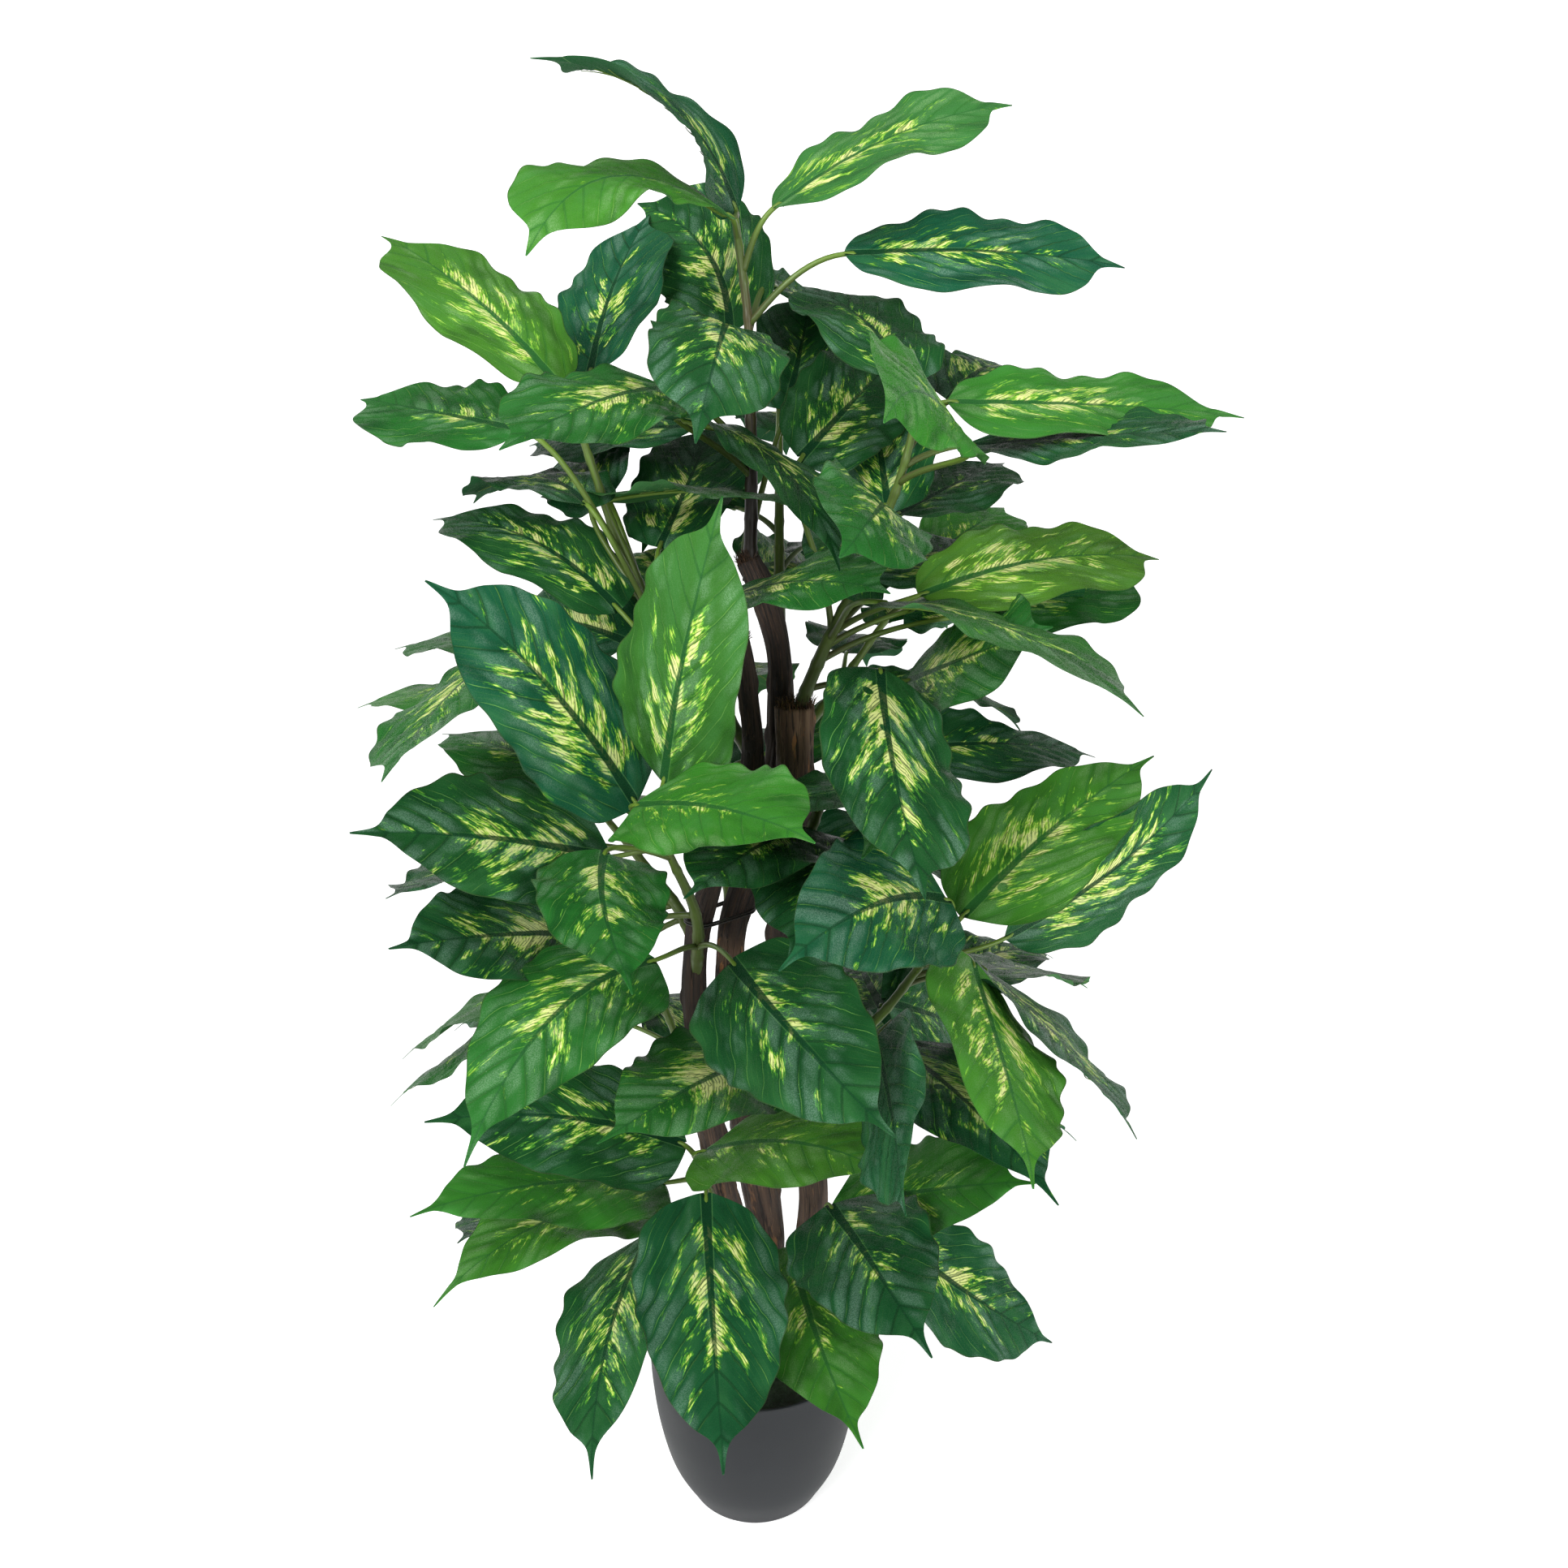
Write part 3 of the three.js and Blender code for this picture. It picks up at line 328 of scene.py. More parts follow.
def seen_at_reach(u, v, base, reach, side):
    """The point seen at a pixel at a given reach from base, on its nearer or farther side."""
    line = unit(sight_line(u, v))
    offset = EYE - base
    along = -line @ offset
    spare = max(0.0, along**2 - offset @ offset + reach**2)
    return EYE + line * (along - side * math.sqrt(spare))


def pixel_of(point):
    offset = point - EYE
    depth = offset @ AHEAD
    u = CENTRE + FOCAL * (offset @ RIGHT) / depth
    v = CENTRE - FOCAL * (offset @ ABOVE) / depth
    return u, v, depth


class Curve:
    """A centripetal Catmull-Rom curve through points, read by share of its length."""

    def __init__(self, points, fine=60):
        points = np.asarray(points, float)
        ends = np.vstack([2 * points[0] - points[1], points, 2 * points[-1] - points[-2]])
        rows = []
        for p0, p1, p2, p3 in zip(ends, ends[1:], ends[2:], ends[3:]):
            pairs = ((p0, p1), (p1, p2), (p2, p3))
            d0, d1, d2 = (np.linalg.norm(b - a) ** 0.5 for a, b in pairs)
            m1 = ((p1 - p0) / d0 - (p2 - p0) / (d0 + d1) + (p2 - p1) / d1) * d1
            m2 = ((p2 - p1) / d1 - (p3 - p1) / (d1 + d2) + (p3 - p2) / d2) * d1
            t = np.linspace(0, 1, fine, endpoint=False)[:, None]
            rise = p1 * (2 * t**3 - 3 * t**2 + 1) + m1 * (t**3 - 2 * t**2 + t)
            rows.append(rise + p2 * (3 * t**2 - 2 * t**3) + m2 * (t**3 - t**2))
        self.points = np.vstack([*rows, points[-1:]])
        steps = np.linalg.norm(np.diff(self.points, axis=0), axis=1)
        self.shares = np.concatenate([[0], np.cumsum(steps)]) / steps.sum()
        self.length = steps.sum()

    def at(self, share):
        return np.stack([np.interp(share, self.shares, axis) for axis in self.points.T], axis=-1)

    def direction(self, share):
        return unit(self.at(min(1, share + 0.005)) - self.at(max(0, share - 0.005)))

    def share_at_height(self, z):
        shares = np.linspace(0, 1, 401)
        return shares[np.argmin(np.abs(self.at(shares)[:, 2] - z))]


# ---- Meshes ----
class Shape:
    """Places, faces and named point values of one mesh, gathered piece by piece."""

    def __init__(self):
        self.places = []
        self.faces = []
        self.values = {}
        self.count = 0

    def add(self, places, faces, **values):
        places = np.asarray(places, float).reshape(-1, 3)
        self.places.append(places)
        self.faces.extend([tuple(int(i) + self.count for i in face) for face in faces])
        for name, value in values.items():
            row = np.broadcast_to(value, len(places)).astype(float)
            self.values.setdefault(name, []).append(row)
        self.count += len(places)

    def build(self, name, material, slot, *nodes):
        mesh = bpy.data.meshes.new(name)
        mesh.from_pydata((np.vstack(self.places) * MM).tolist(), [], self.faces)
        for key, rows in self.values.items():
            layer = mesh.attributes.new(key, "FLOAT", "POINT")
            layer.data.foreach_set("value", np.concatenate(rows))
        mesh.materials.append(material)
        mesh.shade_smooth()
        piece = bpy.data.objects.new(name, mesh)
        bpy.context.collection.objects.link(piece)
        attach(piece, "root")
        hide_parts(*nodes)


def grid_faces(rows, columns, closed=False):
    faces = []
    for i in range(rows - 1):
        for j in range(columns if closed else columns - 1):
            k = (j + 1) % columns
            a = i * columns
            b = a + columns
            faces.append((a + j, a + k, b + k, b + j))
    return faces


def frames_along(path):
    """Two directions square to the path at each of its points, without twist."""
    ahead = unit(np.gradient(path, axis=0))
    side = np.cross(ahead[0], [0.3, 0.2, 1.0] if abs(ahead[0][2]) < 0.9 else [1.0, 0.1, 0.2])
    sides = []
    for step in ahead:
        side = unit(side - step * (side @ step))
        sides.append(side)
    sides = np.array(sides)
    return sides, np.cross(ahead, sides)


def add_tube(shape, path, radii, sides, bump=None, **values):
    """A closed round tube; its point values tell the way along it and round it."""
    path = np.asarray(path, float)
    first, second = frames_along(path)
    steps = np.linalg.norm(np.diff(path, axis=0), axis=1)
    length = np.concatenate([[0], np.cumsum(steps)])
    angle = np.linspace(0, 2 * math.pi, sides, endpoint=False)
    radius = np.broadcast_to(np.asarray(radii, float), len(path))[:, None] * np.ones(sides)
    if bump is not None:
        radius = radius + bump(length, angle)
    ring = first[:, None] * np.cos(angle)[:, None] + second[:, None] * np.sin(angle)[:, None]
    places = path[:, None] + ring * radius[..., None]
    faces = grid_faces(len(path), sides, closed=True)
    faces.append(tuple(range(sides - 1, -1, -1)))
    faces.append(tuple((len(path) - 1) * sides + j for j in range(sides)))
    spread = {key: np.repeat(np.broadcast_to(v, len(path)), sides) for key, v in values.items()}
    shape.add(
        places,
        faces,
        along=np.repeat(length, sides),
        ring_x=(radius * np.cos(angle)).ravel(),
        ring_y=(radius * np.sin(angle)).ravel(),
        **spread,
    )


# ---- Leaves ----
# A leaf: three places on its rib, the two directions that its face turns between, its rolls at the
# base and the tip, its length and number, the share of the stem where its stalk starts, its tone.
Leaf = namedtuple("Leaf", "base mid tip facing skyward roll length index at tone")


def seen_leaf(row, index):
    """A leaf from its row: how near its tip is comes from its length and from where it is seen."""
    u, v, near, mid_u, mid_v, tip_u, tip_v, side, length, roll_base, roll_tip, at, tone = row
    base = seen_at(u, v, near)
    scale = pixel_of(base)[2] / FOCAL
    bend = math.hypot(mid_u - (u + tip_u) / 2, mid_v - (v + tip_v) / 2) * scale
    tip = seen_at_reach(tip_u, tip_v, base, length - 8 * bend**2 / (3 * length), side)
    mid = (base + tip) / 2
    seen_u, seen_v, depth = pixel_of(mid)
    mid = mid + RIGHT * (mid_u - seen_u) * depth / FOCAL + ABOVE * (seen_v - mid_v) * depth / FOCAL
    along = unit(tip - base)
    facing = unit(EYE - base)
    skyward = unit(np.cross(along, facing))
    if skyward @ ABOVE < 0:
        skyward = -skyward
    facing = unit(facing - along * (facing @ along))
    roll = (math.radians(roll_base), math.radians(roll_tip))
    mid = mid + facing * LEAF_ARCH * math.cos(roll[0])
    return Leaf(base, mid, tip, facing, skyward, roll, length, index, at, tone)


def youth_at(base):
    """0 for a leaf that hangs low on the plant, 1 for one near its top."""
    return min(max((base[2] - YOUNG_FROM) / YOUNG_OVER, 0), 1)


def grown_leaf(stem_point, azimuth, share, index):
    """A leaf at the back: it leaves its stem at an azimuth and droops more the lower it grows."""
    out = np.array([math.cos(azimuth), math.sin(azimuth), 0.0])
    base = stem_point + out * BACK_LEAF["stalk"] + [0, 0, BACK_LEAF["rise"]]
    full = BACK_LEAF["length"] + BACK_LENGTH_SWING * math.sin(index * GOLDEN_ANGLE)
    length = full * (1 - YOUNG_SHORTER * youth_at(base))
    droop = BACK_LEAF["droop"] * (1.25 - share)
    tip = base + out * (math.sqrt(length**2 - droop**2) - BACK_CHORD_LOSS) - [0, 0, droop]
    along = unit(tip - base)
    skyward = np.array([-math.sin(azimuth), math.cos(azimuth), 0.0])
    facing = unit(np.cross(along, skyward))
    if facing[2] < 0:
        facing = -facing
    lean = math.radians(BACK_LEAN_DEG * math.sin(index * 1.7))
    mid = (base + tip) / 2 + facing * BACK_LEAF["arch"]
    tone = MID if index % 3 == 0 else DARK
    return Leaf(base, mid, tip, facing, skyward, (lean, lean), length, index, share, tone)


def smooth_outline(shares):
    return Curve([[k / (len(shares) - 1), w, 0] for k, w in enumerate(shares)]).points


BROAD_CURVE = smooth_outline(BROAD)
SLENDER_CURVE = smooth_outline(SLENDER)


def outline_at(leaf, t):
    """Half of the leaf's width at t, as a share of its widest: the upper leaves are slenderer."""
    youth = youth_at(leaf.base)
    broad = np.interp(t, BROAD_CURVE[:, 0], BROAD_CURVE[:, 1])
    outline = broad + (np.interp(t, SLENDER_CURVE[:, 0], SLENDER_CURVE[:, 1]) - broad) * youth
    return outline * np.sqrt(1.02 - np.maximum(0, 1 - t / LEAF_BASE_ROUNDING) ** 2)


def leaf_surface(leaf, t, s):
    """Places and normals of a leaf at shares t of its length and s (-1 to 1) of its width."""
    base, mid, tip = leaf.base, leaf.mid, leaf.tip
    step = t[..., None]
    pull = 2 * mid - base / 2 - tip / 2
    rib = base * (1 - step) ** 2 + pull * 2 * step * (1 - step) + tip * step**2
    along = unit((pull - base) * (1 - step) + (tip - pull) * step)
    roll = leaf.roll[0] + (leaf.roll[1] - leaf.roll[0]) * step
    face = leaf.facing * np.cos(roll) + leaf.skyward * np.sin(roll)
    across = unit(np.cross(along, face))
    normal = np.cross(across, along)

    # The relief: waves and ripples of the edge, quilting between the side veins, and the rib's
    # groove. Each leaf has its phase, and its two sides differ.
    phase = leaf.index * GOLDEN_ANGLE
    size = np.abs(s)
    outline = outline_at(leaf, t)
    share = LEAF_WIDTH_SHARE + (YOUNG_WIDTH_SHARE - LEAF_WIDTH_SHARE) * youth_at(base)
    half = leaf.length * share * outline / 2
    fade = np.sin(math.pi * np.minimum(1, t + 0.08)) ** 0.5
    wave = np.sin(2 * math.pi * LEAF_WAVES * t + phase + np.where(s > 0, 0, 2.1))
    ripple = np.sin(2 * math.pi * RIPPLES * t + phase * 2 + np.where(s > 0, 1.3, 0))
    vein = t - VEIN_SWEEP * size * outline - VEIN_BEND * (size * outline) ** 2
    quilt = 1.3 * np.abs(np.sin(math.pi * VEIN_PAIRS * vein + math.pi / 2)) ** 0.7 - 0.9
    quilt = quilt * np.sin(math.pi * np.minimum(1, size * 1.15)) ** 0.8
    groove = np.exp(-((s * half / GROOVE_HALF_WIDTH) ** 2)) * outline**0.5

    lift = half * LEAF_FOLD * size * (1.8 - size)
    lift = lift + fade * (LEAF_WAVE * wave * size**2 + RIPPLE * ripple * size**3 + QUILT * quilt)
    lift = lift - GROOVE * groove
    curl = np.maximum(0, t - TIP_CURLS_FROM) ** 2
    lift = lift - TIP_CURL * curl
    drift = TIP_DRIFT * curl * math.sin(phase * 3)
    reach = half * s * (1 + 0.03 * ripple * size**2 * fade) + drift
    back = LEAF_LOBE * size * np.maximum(0, 1 - 4 * t)
    places = rib + across * reach[..., None] + normal * lift[..., None] - along * back[..., None]
    return places, normal


def add_leaf(shape, leaf):
    """A blade with an upper and a lower skin joined round its rim, and what its print needs."""
    t = np.linspace(0, 1, LEAF_ROWS) ** 1.12
    s = np.sin(np.linspace(-1, 1, LEAF_COLUMNS) * math.pi / 2)
    t, s = np.meshgrid(t, s, indexing="ij")
    places, normal = leaf_surface(leaf, t, s)
    edge = np.clip(1.02 - np.abs(s) ** 6, LEAF_THINNEST_EDGE, 1)[..., None]
    half = LEAF_THICKNESS / 2 * edge
    upper = (places + normal * half).reshape(-1, 3)
    lower = (places - normal * half).reshape(-1, 3)
    total = len(upper)
    faces = grid_faces(LEAF_ROWS, LEAF_COLUMNS)
    faces += [tuple(i + total for i in reversed(face)) for face in faces]
    last = (LEAF_ROWS - 1) * LEAF_COLUMNS
    rim = [i * LEAF_COLUMNS for i in range(LEAF_ROWS)]
    rim += [last + j for j in range(1, LEAF_COLUMNS)]
    rim += [i * LEAF_COLUMNS + LEAF_COLUMNS - 1 for i in range(LEAF_ROWS - 2, -1, -1)]
    rim += list(range(LEAF_COLUMNS - 2, 0, -1))
    faces += [(a, b, b + total, a + total) for a, b in zip(rim, rim[1:] + rim[:1])]
    index = leaf.index
    usual = (0.75 + 0.25 * math.sin(index * 1.9), 0.45 * math.sin(index * 2.7))
    printed, warm = LOOKS.get(index, usual)
    shape.add(
        np.vstack([upper, lower]),
        faces,
        leaf_t=np.tile(t.ravel(), 2),
        leaf_s=np.tile(s.ravel(), 2),
        leaf_y=np.tile((s * outline_at(leaf, t)).ravel(), 2),
        leaf_under=np.repeat([0.0, 1.0], total),
        leaf_tone=leaf.tone / 2,
        leaf_print=printed,
        leaf_warm=warm,
        leaf_seed=index * 3.17,
    )


def add_petiole(shape, leaf, curve):
    """The stalk of a leaf, from within the stem and on as the raised rib under the blade."""
    root = curve.at(leaf.at)
    rise = curve.direction(leaf.at)
    (start, heel), _ = leaf_surface(leaf, np.array([0.0, 0.03]), np.zeros(2))
    inward = unit(heel - start)
    span = np.linalg.norm(root - start)
    first = root + (start - root) * 0.28 + rise * span * 0.12
    second = start - inward * span * 0.35
    steps, rib_steps = 15, 22
    t = np.linspace(0, 1, steps)[:, None]
    stalk = root * (1 - t) ** 3 + 3 * first * t * (1 - t) ** 2
    stalk = stalk + 3 * second * t**2 * (1 - t) + start * t**3
    rib, normal = leaf_surface(leaf, np.linspace(*RIB_SPAN, rib_steps), np.zeros(rib_steps))
    radii = np.concatenate([np.linspace(*STALK_RADII, steps), np.linspace(*RIB_RADII, rib_steps)])
    path = np.vstack([stalk, rib - normal * radii[steps:, None]])
    age = np.concatenate([np.linspace(*STALK_AGES, steps), np.linspace(*RIB_AGES, rib_steps)])
    add_tube(shape, path, radii, sides=9, age=age)


def add_veins(shape, leaf):
    """The raised side veins under the blade, a pair from each main vein of the print."""
    steps = 9
    y = np.linspace(0.0, RAISED_REACH, steps)
    radii = np.linspace(*RAISED_RADII, steps)
    for pair in range(1, RAISED_PAIRS + 1):
        t = (pair + 0.5) / VEIN_PAIRS + VEIN_SWEEP * y + VEIN_BEND * y**2
        for side in (-1, 1):
            places, normal = leaf_surface(leaf, t, side * y / outline_at(leaf, t))
            path = places - normal * (LEAF_THICKNESS / 2 + radii * 0.6)[:, None]
            add_tube(shape, path, radii, sides=5, age=VEIN_AGE)


def add_stem(shape, curve, woody):
    """A leafy stem with the rings that fallen leaves leave, green unless it is woody at its foot."""
    shares = np.linspace(0, 1, 110)
    radii = STEM_FOOT + (STEM_TIP - STEM_FOOT) * shares
    rings = np.abs(np.cos(shares * curve.length / STEM_RING_PACE)) ** 14
    age = STEM_AGE + (STEM_FOOT_AGE + WOODY_FOOT_AGE * woody) * (1 - shares) ** 0.8

    def bark(length, angle):
        round_it = [(2 * math.cos(b), 2 * math.sin(b)) for b in angle]
        return [[0.35 * noise.noise((a * 0.05, x, y)) for x, y in round_it] for a in length]

    add_tube(shape, curve.at(shares), radii + STEM_RING * rings - 0.1, sides=16, bump=bark, age=age)


# ---- Materials ----
def rgb(red, green, blue):
    """A screen colour, 0 to 255, as the linear colour that a shader takes."""
    parts = [c / 255 for c in (red, green, blue)]
    return (*[c / 12.92 if c <= 0.04045 else ((c + 0.055) / 1.055) ** 2.4 for c in parts], 1.0)


# Where a mix node keeps its two colours and its result, among those of its other kinds.
MIX_FIRST = 6
MIX_SECOND = 7
MIX_RESULT = 2


class Graph:
    """A material's nodes, with short calls for the few kinds that are used."""

    def __init__(self, name, specular=0.5):
        self.material = bpy.data.materials.new(name)
        self.material.use_nodes = True
        self.nodes = self.material.node_tree.nodes
        self.links = self.material.node_tree.links
        self.shader = self.nodes["Principled BSDF"]
        self.set("Specular IOR Level", specular)

    def put(self, value, socket):
        if isinstance(value, bpy.types.NodeSocket):
            self.links.new(value, socket)
        else:
            socket.default_value = value

    def set(self, name, value):
        self.put(value, self.shader.inputs[name])

    def node(self, kind, *listed, **named):
        """A new node with its inputs filled in, in their order or by their names."""
        node = self.nodes.new("ShaderNode" + kind)
        for socket, value in zip(node.inputs, listed):
            self.put(value, socket)
        for name, value in named.items():
            self.put(value, node.inputs[name])
        return node

    def attribute(self, name):
        node = self.node("Attribute")
        node.attribute_name = name
        return node.outputs["Fac"]

    def place(self):
        return self.node("TexCoord").outputs["Object"]

    def math(self, operation, a, b=0.0):
        node = self.node("Math", a, b)
        node.operation = operation
        return node.outputs[0]

    def add(self, *values):
        return reduce(lambda a, b: self.math("ADD", a, b), values)

    def less(self, value, taken):
        return self.math("SUBTRACT", value, taken)

    def times(self, *values):
        return reduce(lambda a, b: self.math("MULTIPLY", a, b), values)

    def swing(self, value, weight, rest=0.5):
        """How far value is from its rest, times weight."""
        return self.times(self.add(value, -rest), weight)

    def step(self, value, low, high, start=0.0, end=1.0):
        """A smooth change from start to end as value goes from low to high."""
        node = self.node("MapRange", value, low, high, start, end)
        node.interpolation_type = "SMOOTHSTEP"
        return node.outputs[0]

    def vector(self, x, y, z):
        return self.node("CombineXYZ", x, y, z).outputs[0]

    def noise(self, vector, scale=1.0, detail=1.0, roughness=0.5):
        look = {"Scale": scale, "Detail": detail, "Roughness": roughness}
        return self.node("TexNoise", Vector=vector, **look).outputs["Fac"]

    def grain(self, across, along, **kind):
        """Noise by its scale across a tube and along it, per millimetre."""
        x = self.times(self.attribute("ring_x"), across)
        y = self.times(self.attribute("ring_y"), across)
        return self.noise(self.vector(x, y, self.times(self.attribute("along"), along)), **kind)

    def cells(self, vector):
        return self.node("TexVoronoi", Vector=vector, Scale=1.0).outputs["Distance"]

    def mix(self, factor, a, b):
        node = self.node("Mix", factor)
        node.data_type = "RGBA"
        self.put(a, node.inputs[MIX_FIRST])
        self.put(b, node.inputs[MIX_SECOND])
        return node.outputs[MIX_RESULT]

    def lines(self, value, width, soft):
        """1 on thin lines where value is a whole number and a half, 0 between them."""
        off = self.math("ABSOLUTE", self.less(self.math("FRACT", value), 0.5))
        return self.step(off, width + soft, width)

    def finish(self, colour, roughness, bumps, strength, depth):
        """The material, once its colour, roughness and bumps are joined to the shader."""
        bump = self.node("Bump", Height=bumps, Strength=strength, Distance=depth)
        self.set("Base Color", colour)
        self.set("Roughness", roughness)
        self.set("Normal", bump.outputs["Normal"])
        return self.material


# The drawn lines of the print: how many there are along the leaf, and out from its rib.
HATCH_LINES = 54
HATCH_RUNGS = 19
FINE_LINES = VEIN_PAIRS * 3


def leaf_material():
    """Printed cloth: ragged cream flecks, hatched along the side veins, and a dark rib."""
    g = Graph("printed_leaf")
    t = g.attribute("leaf_t")
    s = g.math("ABSOLUTE", g.attribute("leaf_s"))
    side = g.attribute("leaf_y")
    y = g.math("ABSOLUTE", side)
    seed = g.add(g.attribute("leaf_seed"), g.times(g.math("SIGN", side), 7.3))
    tone = g.attribute("leaf_tone")
    warm = g.attribute("leaf_warm")
    printed = g.attribute("leaf_print")
    under = g.attribute("leaf_under")
    vein = g.less(t, g.add(g.times(y, VEIN_SWEEP), g.times(y, y, VEIN_BEND)))

    def blotches(way, per_leaf, outward, layer=None, **kind):
        """Noise by its scale along the way and out from the rib; its layer sets it apart."""
        own = seed if layer is None else g.add(seed, layer)
        return g.noise(g.vector(g.times(way, per_leaf), g.times(y, outward), own), **kind)

    # The green of the cloth, in three tones, with clouds of paler and darker green.
    cool = g.step(warm, 0.0, -1.0)
    olive = g.step(warm, 0.0, 1.0)
    dark = g.mix(cool, rgb(28, 74, 36), rgb(24, 80, 56))
    light = g.mix(olive, rgb(52, 118, 38), rgb(78, 122, 40))
    light = g.mix(cool, light, rgb(56, 106, 58))
    middle = g.mix(olive, rgb(34, 94, 36), rgb(54, 100, 38))
    ground = g.mix(g.step(tone, 0.0, 0.5), dark, middle)
    ground = g.mix(g.step(tone, 0.5, 1.0), ground, light)
    cloud = blotches(vein, 5, 2, detail=3.0)
    ground = g.mix(g.step(cloud, 0.45, 0.75, 0.0, 0.3), ground, rgb(64, 122, 66))
    ground = g.mix(g.step(cloud, 0.5, 0.25, 0.0, 0.5), ground, rgb(14, 42, 26))

    # The flecks: a score above 0 is cream, with a halo of yellow green round it.
    wander = blotches(vein, 11, 4, layer=11.0, detail=2.0)
    crooked = g.add(vein, g.swing(wander, 0.05))
    streak = blotches(crooked, 27, 5.0, detail=3.0, roughness=0.6)
    patch = blotches(crooked, 10, 3.4, layer=40.0)
    frayed = blotches(crooked, 95, 17, layer=20.0, detail=2.0)
    lengthwise = g.times(g.step(t, 0.02, 0.16), g.step(t, 0.95, 0.4))
    score = g.add(
        g.swing(streak, 1.3),
        g.swing(patch, 1.5),
        g.times(lengthwise, g.step(y, 1.05, 0.0), 0.58),
        -0.5,
        g.swing(frayed, 0.7),
        g.swing(printed, 0.45, rest=1.0),
        g.times(g.step(t, 0.1, 0.0), -0.5),
    )
    halo = g.step(score, -0.13, -0.08)
    cream = g.step(score, 0.0, 0.035)
    pale = g.step(score, 0.05, 0.22)
    spots = g.cells(g.vector(g.times(t, 7.1), g.times(side, 1.7), seed))
    whole = g.less(1.0, g.step(spots, 0.16, 0.12))
    halo_colour = g.mix(tone, rgb(70, 136, 48), rgb(112, 172, 56))
    colour = g.mix(g.times(halo, whole, 0.9), ground, halo_colour)
    cream_colour = g.mix(pale, rgb(162, 200, 76), rgb(220, 226, 146))
    colour = g.mix(g.times(cream, whole), colour, cream_colour)

    # The hatching: broken dark lines along the side veins, with sparse rungs across them.
    waver = g.times(blotches(vein, 9, 7), 1.6)
    hatch = g.lines(g.add(g.times(vein, HATCH_LINES), waver), 0.1, 0.14)
    broken = g.step(blotches(vein, 40, 9), 0.36, 0.5)
    rungs = g.lines(g.add(g.times(y, HATCH_RUNGS), g.times(waver, 4)), 0.06, 0.06)
    sparse = g.step(blotches(vein, 70, 22, detail=0.0), 0.56, 0.62)
    drawn = g.math("MAXIMUM", g.times(hatch, broken), g.times(rungs, sparse))
    colour = g.mix(g.times(drawn, halo, 0.78), colour, rgb(48, 86, 30))

    # The side veins: pale lines, finer ones between them, and a dark line of painted shade beside
    # each, for its groove.
    main = g.times(vein, VEIN_PAIRS)
    drift = g.times(waver, 0.05)
    main_lines = g.lines(g.add(main, drift), 0.014, 0.02)
    fine_lines = g.lines(g.add(g.times(vein, FINE_LINES), g.times(waver, 0.2)), 0.014, 0.02)
    drawn_out = g.times(g.step(y, 0.05, 0.4), g.step(s, 1.0, 0.85), g.step(t, 0.0, 0.1))
    faint = g.step(blotches(vein, 3, 4), 0.35, 0.65)
    pale_lines = g.add(g.times(main_lines, faint, 0.85), g.times(fine_lines, broken, 0.2))
    vein_colour = g.mix(tone, rgb(96, 150, 72), rgb(130, 176, 84))
    veined = g.times(pale_lines, drawn_out, g.step(tone, 0.0, 1.0, 1.0, 0.5))
    colour = g.mix(veined, colour, vein_colour)
    # Painted shade: a dark line beside each side vein, for the shade in its groove, strongest near
    # the rib.
    painted_groove_shade = g.lines(g.add(main, drift, 0.035), 0.03, 0.06)
    near_rib = g.times(g.step(y, 0.9, 0.2), g.step(t, 0.0, 0.06))
    groove_shade_colour = g.mix(tone, rgb(18, 50, 28), rgb(44, 100, 40))
    colour = g.mix(g.times(painted_groove_shade, near_rib, 0.6), colour, groove_shade_colour)

    # Painted sheen: a pale painted highlight on the bulges between the side veins, broken up by the
    # weave of the cloth.
    weave = g.noise(g.place(), 1300.0, 2.0)
    haze_place = g.vector(g.times(t, 4.2), g.times(side, 2.4), g.add(seed, 60.0))
    haze = g.noise(haze_place, detail=2.0)
    bulge = g.less(1.0, g.lines(main, 0.02, 0.3))
    painted_sheen = g.times(g.step(haze, 0.45, 0.66), bulge, g.step(weave, 0.4, 0.62, 0.35, 1.0))
    painted_sheen_colour = g.mix(tone, rgb(116, 150, 132), rgb(128, 168, 112))
    colour = g.mix(g.times(painted_sheen, 0.42), colour, painted_sheen_colour)

    # The rib, narrower towards the tip: pale painted highlights beside its dark middle, which is its
    # own dark green and partly painted shade of its groove; and the dark rim.
    rib_edge = g.math("MAXIMUM", g.times(g.less(0.86, t), 0.074), 0.006)
    from_rib = g.less(y, rib_edge)
    # Painted highlight: a pale line along each side of the rib.
    painted_rib_highlight = g.step(g.math("ABSOLUTE", g.less(from_rib, 0.018)), 0.012, 0.0)
    colour = g.mix(g.times(painted_rib_highlight, g.step(t, 0.8, 0.2), 0.3), colour, rgb(110, 160, 92))
    # The rib's dark middle: its own dark green, partly painted shade of its groove.
    rib = g.times(g.step(from_rib, 0.014, 0.0), g.step(t, 1.0, 0.3, 0.5, 0.94))
    colour = g.mix(rib, colour, g.mix(tone, rgb(20, 58, 34), rgb(40, 92, 44)))
    colour = g.mix(g.times(g.step(s, 0.972, 0.992), 0.5), colour, rgb(52, 64, 34))

    # The underside: duller, with the print showing faintly through.
    back = g.mix(tone, rgb(48, 94, 60), rgb(82, 136, 74))
    back = g.mix(g.step(cloud, 0.35, 0.7, 0.0, 0.5), back, rgb(42, 84, 54))
    back = g.mix(g.times(cream, 0.5), back, rgb(150, 190, 116))
    back = g.mix(g.times(pale_lines, 0.5), back, rgb(112, 150, 96))
    colour = g.mix(under, colour, back)

